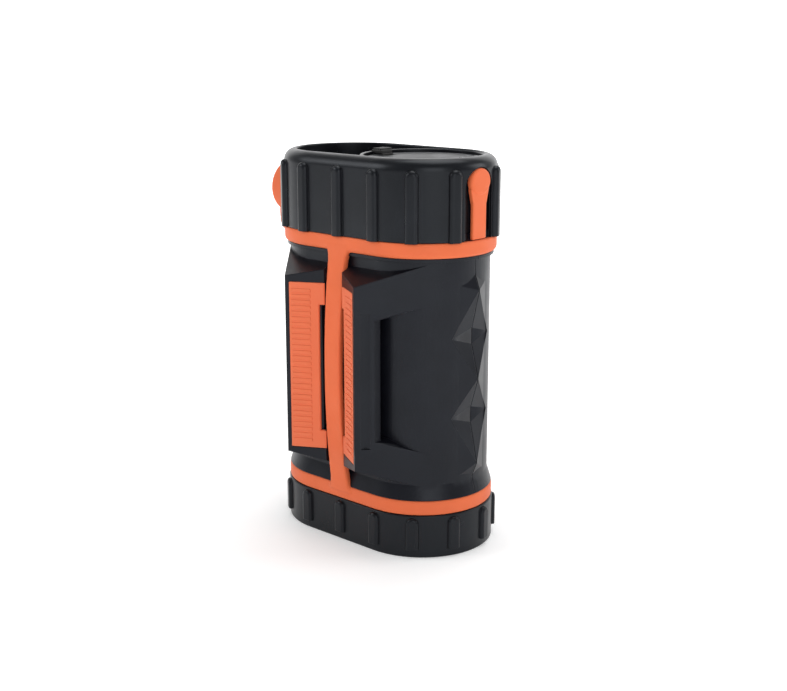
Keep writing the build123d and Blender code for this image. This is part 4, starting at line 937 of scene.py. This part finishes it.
    def jack_block(self, cutout_floor):
        """The housing of the charging socket, inside the recess."""
        block, cavity = bmesh.new(), bmesh.new()
        add_block(block, (34.0, -7, 165.5), (cutout_floor - 3.3, 7, 174.2), 0.5)
        block = to_object(block, "jack_block")
        box(cavity, (35.9, -4.6, 160), (60, 4.6, 173.4))
        combine(block, to_object(cavity, "jack_cavity"))
        return reopen(block)


class JUMP_OT_base(bpy.types.Operator):
    """Model the base cup with its moulded ribs and screw holes"""
    bl_idname = "jump.base"
    bl_label = "Base cup"

    def execute(self, context):
        sizes = sizes_of("jump_housing")
        radius, rim, bore = sizes.base_radius, high("base_cup").z, sizes.body_radius + 0.3
        foot_round, rim_round, floor = 0.8, 0.6, 3.0
        profile = ([(0, 0)] + arc_points((radius - foot_round, foot_round), foot_round, -90, 0, 4)
                   + arc_points((radius - rim_round, rim - rim_round), rim_round, 0, 90, 4)
                   + [(bore, rim), (bore, floor), (0, floor)])
        bm = bmesh.new()
        lap(bm, profile, sizes.end_spacing, closed=False, steps=48)
        cup = to_object(bm, "cup_blank")
        holes, head, shank, seat = bmesh.new(), 3.0, 1.6, 1.6
        for x in (-26.0, 26.0):
            for y in (-14.0, 14.0):
                lathe(holes, [(0, -1), (head, -1), (head, seat), (shank, seat), (shank, 4), (0, 4)],
                      (x, y, 0), closed=False, steps=32)
        combine(cup, to_object(holes, "screw_holes"))
        first = sizes.end_spacing / 2 + 0.7
        pitch = (sizes.end_spacing + pi * radius - first) / 6.5
        ribs = bmesh.new()
        for run in [0.0] + [side * (first + k * pitch) for k in range(7) for side in (-1, 1)]:
            add_rib(ribs, on_lap(run, radius), sizes.base_rib_proud, 4.0, rim - 1.0)
        combine(cup, to_object(ribs, "cup_ribs"), "UNION")
        finished(reopen(cup), "base_moulding", "housing", "cap_plastic", ("base_cup",))
        return {"FINISHED"}


class JUMP_OT_shells(bpy.types.Operator):
    """Carve the facets between the keel's peaks into both shells and sink their parting line"""
    bl_idname = "jump.shells"
    bl_label = "Shells"

    def execute(self, context):
        keel, peak_x = sizes_of("jump_keel"), high("front_shell").x
        lower = (keel.low_peak, keel.lower_valley, keel.middle_peak)
        upper = (keel.middle_peak, keel.upper_valley, keel.high_peak)
        for name in ("front_shell", "rear_shell"):
            bm = bmesh.new()
            bm.from_mesh(frame["nodes"][name].data)
            bmesh.ops.scale(bm, vec=(1 / MM, 1 / MM, 1 / MM), verts=bm.verts)
            bmesh.ops.remove_doubles(bm, verts=bm.verts, dist=1e-3)
            piece = to_object(bm, name + "_blank")
            for side in (1, -1):
                combine(piece, self.facet_cut(keel, peak_x, lower, side))
                combine(piece, self.facet_cut(keel, peak_x, upper, side))
                combine(piece, self.parting_cut(keel, peak_x, side))
            finished(reopen(piece), name + "_moulding", "housing", "shell_plastic", (name,),
                     smooth_angle=13.0)
        return {"FINISHED"}

    def facet_cut(self, keel, peak_x, heights, side):
        """Cutter between two peaks: six facets down to the valley's straight bottom."""
        peak_low, valley, peak_high = heights
        corners = {
            "peak_low": (peak_x, 0, peak_low), "peak_high": (peak_x, 0, peak_high),
            "bottom_low": (keel.valley_x, 0, valley - keel.valley_half),
            "bottom_high": (keel.valley_x, 0, valley + keel.valley_half),
            "front": (keel.root_x, -keel.root_y, valley), "back": (keel.root_x, keel.root_y, valley),
            "outside": (peak_x + 12, 0, valley),
        }
        around = ("peak_high", "bottom_high", "bottom_low", "peak_low", "outside", "peak_high")
        bm = bmesh.new()
        made = {key: bm.verts.new((side * x, y, z)) for key, (x, y, z) in corners.items()}
        for flank in ("front", "back"):
            for start, end in zip(around, around[1:]):
                bm.faces.new([made[flank], made[start], made[end]])
        bmesh.ops.recalc_face_normals(bm, faces=bm.faces)
        return to_object(bm, "facet_cut")

    def parting_cut(self, keel, peak_x, side):
        """Thin cutter along the crest, so that the shells meet in a narrow dark groove."""
        housing, outside = sizes_of("jump_housing"), peak_x + 5
        depth, half = keel.groove_depth, keel.groove_half
        plain = housing.end_spacing / 2 + housing.body_radius - depth
        crest = [(outside, keel.foot), (plain, keel.foot), (peak_x - depth, keel.low_peak)]
        for valley, peak in ((keel.lower_valley, keel.middle_peak), (keel.upper_valley, keel.high_peak)):
            crest += [(keel.valley_x - depth, valley - keel.valley_half),
                      (keel.valley_x - depth, valley + keel.valley_half), (peak_x - depth, peak)]
        crest += [(plain, keel.head), (outside, keel.head)]
        bm = bmesh.new()
        prism(bm, [(side * x, -half, z) for x, z in crest], (0, 2 * half, 0))
        return to_object(bm, "parting_cut")


class JUMP_OT_stage(bpy.types.Operator):
    """Lay the pale floor and set the soft lights and the camera"""
    bl_idname = "jump.stage"
    bl_label = "Stage"

    def execute(self, context):
        scene = context.scene
        self.sweep(scene.jump_colours.floor)
        world = scene.world or bpy.data.worlds.new("studio_air")
        scene.world = world
        world.use_nodes = True
        back = world.node_tree.nodes["Background"]
        back.inputs["Color"].default_value = (1.0, 1.0, 1.0, 1.0)
        back.inputs["Strength"].default_value = 0.32
        middle = Vector((0, 0, 0.09))
        for name, place, width, power in (("key_softbox", (-0.70, -0.85, 0.75), 0.6, 4.7),
                                          ("fill_softbox", (0.95, -0.60, 0.50), 0.7, 3.6),
                                          ("rim_softbox", (0.75, 0.85, 0.60), 0.5, 3.2),
                                          ("top_softbox", (0.0, 0.25, 1.20), 0.8, 6.0)):
            lamp = bpy.data.lights.new(name, "AREA")
            lamp.shape, lamp.size, lamp.energy = "SQUARE", width, power
            self.aim(bpy.data.objects.new(name, lamp), Vector(place), middle)
        data = bpy.data.cameras.new("camera")
        data.lens, data.sensor_width = 57.08, 36.0
        data.clip_start, data.clip_end = 0.01, 20.0
        camera = bpy.data.objects.new("camera", data)
        self.aim(camera, Vector((0.3896, -0.4234, 0.2301)), Vector((0.00174, 0.00159, 0.0878)))
        scene.camera = camera
        scene.view_settings.view_transform = "Standard"
        return {"FINISHED"}

    def aim(self, thing, place, target):
        """Put a lamp or camera in its place, turned to a point."""
        thing.location = place
        thing.rotation_mode = "QUATERNION"
        thing.rotation_quaternion = (target - place).to_track_quat("-Z", "Y")
        bpy.context.scene.collection.objects.link(thing)

    def sweep(self, hex_value):
        """A floor of paper that curves up into a wall behind the pack."""
        reach, turn, curve = 2600, -47.6, 1200.0
        bm = bmesh.new()
        bmesh.ops.create_grid(bm, x_segments=1, y_segments=1, size=reach)
        far_edge = [e for e in bm.edges if all(v.co.x < 0 for v in e.verts)]
        bmesh.ops.rotate(bm, verts=bm.verts, cent=(0, 0, 0), matrix=Matrix.Rotation(radians(turn), 3, "Z"))
        wall = bmesh.ops.extrude_edge_only(bm, edges=far_edge)["geom"]
        bmesh.ops.translate(bm, verts=only(bmesh.types.BMVert, wall), vec=(0, 0, reach))
        round_edges(bm, curve, segments=12)
        sweep = to_object(bm, "studio_sweep")
        for polygon in sweep.data.polygons:
            polygon.use_smooth = True
        sweep.data.materials.append(self.paper(hex_value))

    def paper(self, hex_value):
        """Matte paper sweep, lit a little more with distance, as by background lights."""
        made = surface("matte_paper_sweep", {"Specular IOR Level": 0.2, "Emission Color": (1, 1, 1, 1)},
                       shade=(linear(hex_value), mixed(hex_value, "FFFFFF", 0.3), 60.0),
                       rough=(0.75, 0.85, 40.0))
        tree = made.node_tree
        place = node(tree, "ShaderNodeTexCoord").outputs["Object"]
        away = node(tree, "ShaderNodeVectorMath", {0: place}, operation="LENGTH").outputs["Value"]
        glow = node(tree, "ShaderNodeMapRange", {"Value": away, "From Min": 0.1, "From Max": 0.9,
                                                 "To Min": 0.25, "To Max": 0.95})
        tree.links.new(glow.outputs["Result"], tree.nodes["Principled BSDF"].inputs["Emission Strength"])
        return made


class JUMP_PT_panel(bpy.types.Panel):
    """Sizes, colours and the steps that build the pack"""
    bl_idname = "JUMP_PT_panel"
    bl_label = "Jump starter pack"
    bl_space_type = "VIEW_3D"
    bl_region_type = "UI"
    bl_category = "Jump Starter"

    def draw(self, context):
        for group in GROUPS:
            values = getattr(context.scene, group)
            part = self.layout.box()
            for key in values.bl_rna.properties.keys():
                if key not in ("rna_type", "name"):
                    part.prop(values, key)
        for step in STEPS:
            self.layout.operator(step.bl_idname)


GROUPS = {"jump_housing": HousingSizes, "jump_grips": GripSizes, "jump_keel": KeelSizes,
          "jump_harness": HarnessSizes, "jump_lid": LidSizes, "jump_colours": FinishColours}
STEPS = (JUMP_OT_finishes, JUMP_OT_cap, JUMP_OT_base, JUMP_OT_shells, JUMP_OT_pads, JUMP_OT_harness,
         JUMP_OT_charge_cover, JUMP_OT_jump_cover, JUMP_OT_port_lid, JUMP_OT_lid_catch, JUMP_OT_stage)


def register():
    """Add the classes to Blender and their values to the scene."""
    for item in (*GROUPS.values(), *STEPS, JUMP_PT_panel):
        bpy.utils.register_class(item)
    for key, group in GROUPS.items():
        setattr(bpy.types.Scene, key, bpy.props.PointerProperty(type=group))


def unregister():
    """Take the classes and values away again."""
    for key in GROUPS:
        delattr(bpy.types.Scene, key)
    for item in (*GROUPS.values(), *STEPS, JUMP_PT_panel):
        bpy.utils.unregister_class(item)


def main():
    """Build the pack and its stage."""
    register()
    for step in STEPS:
        space, action = step.bl_idname.split(".")
        getattr(getattr(bpy.ops, space), action)()


if __name__ == "__main__":
    main()
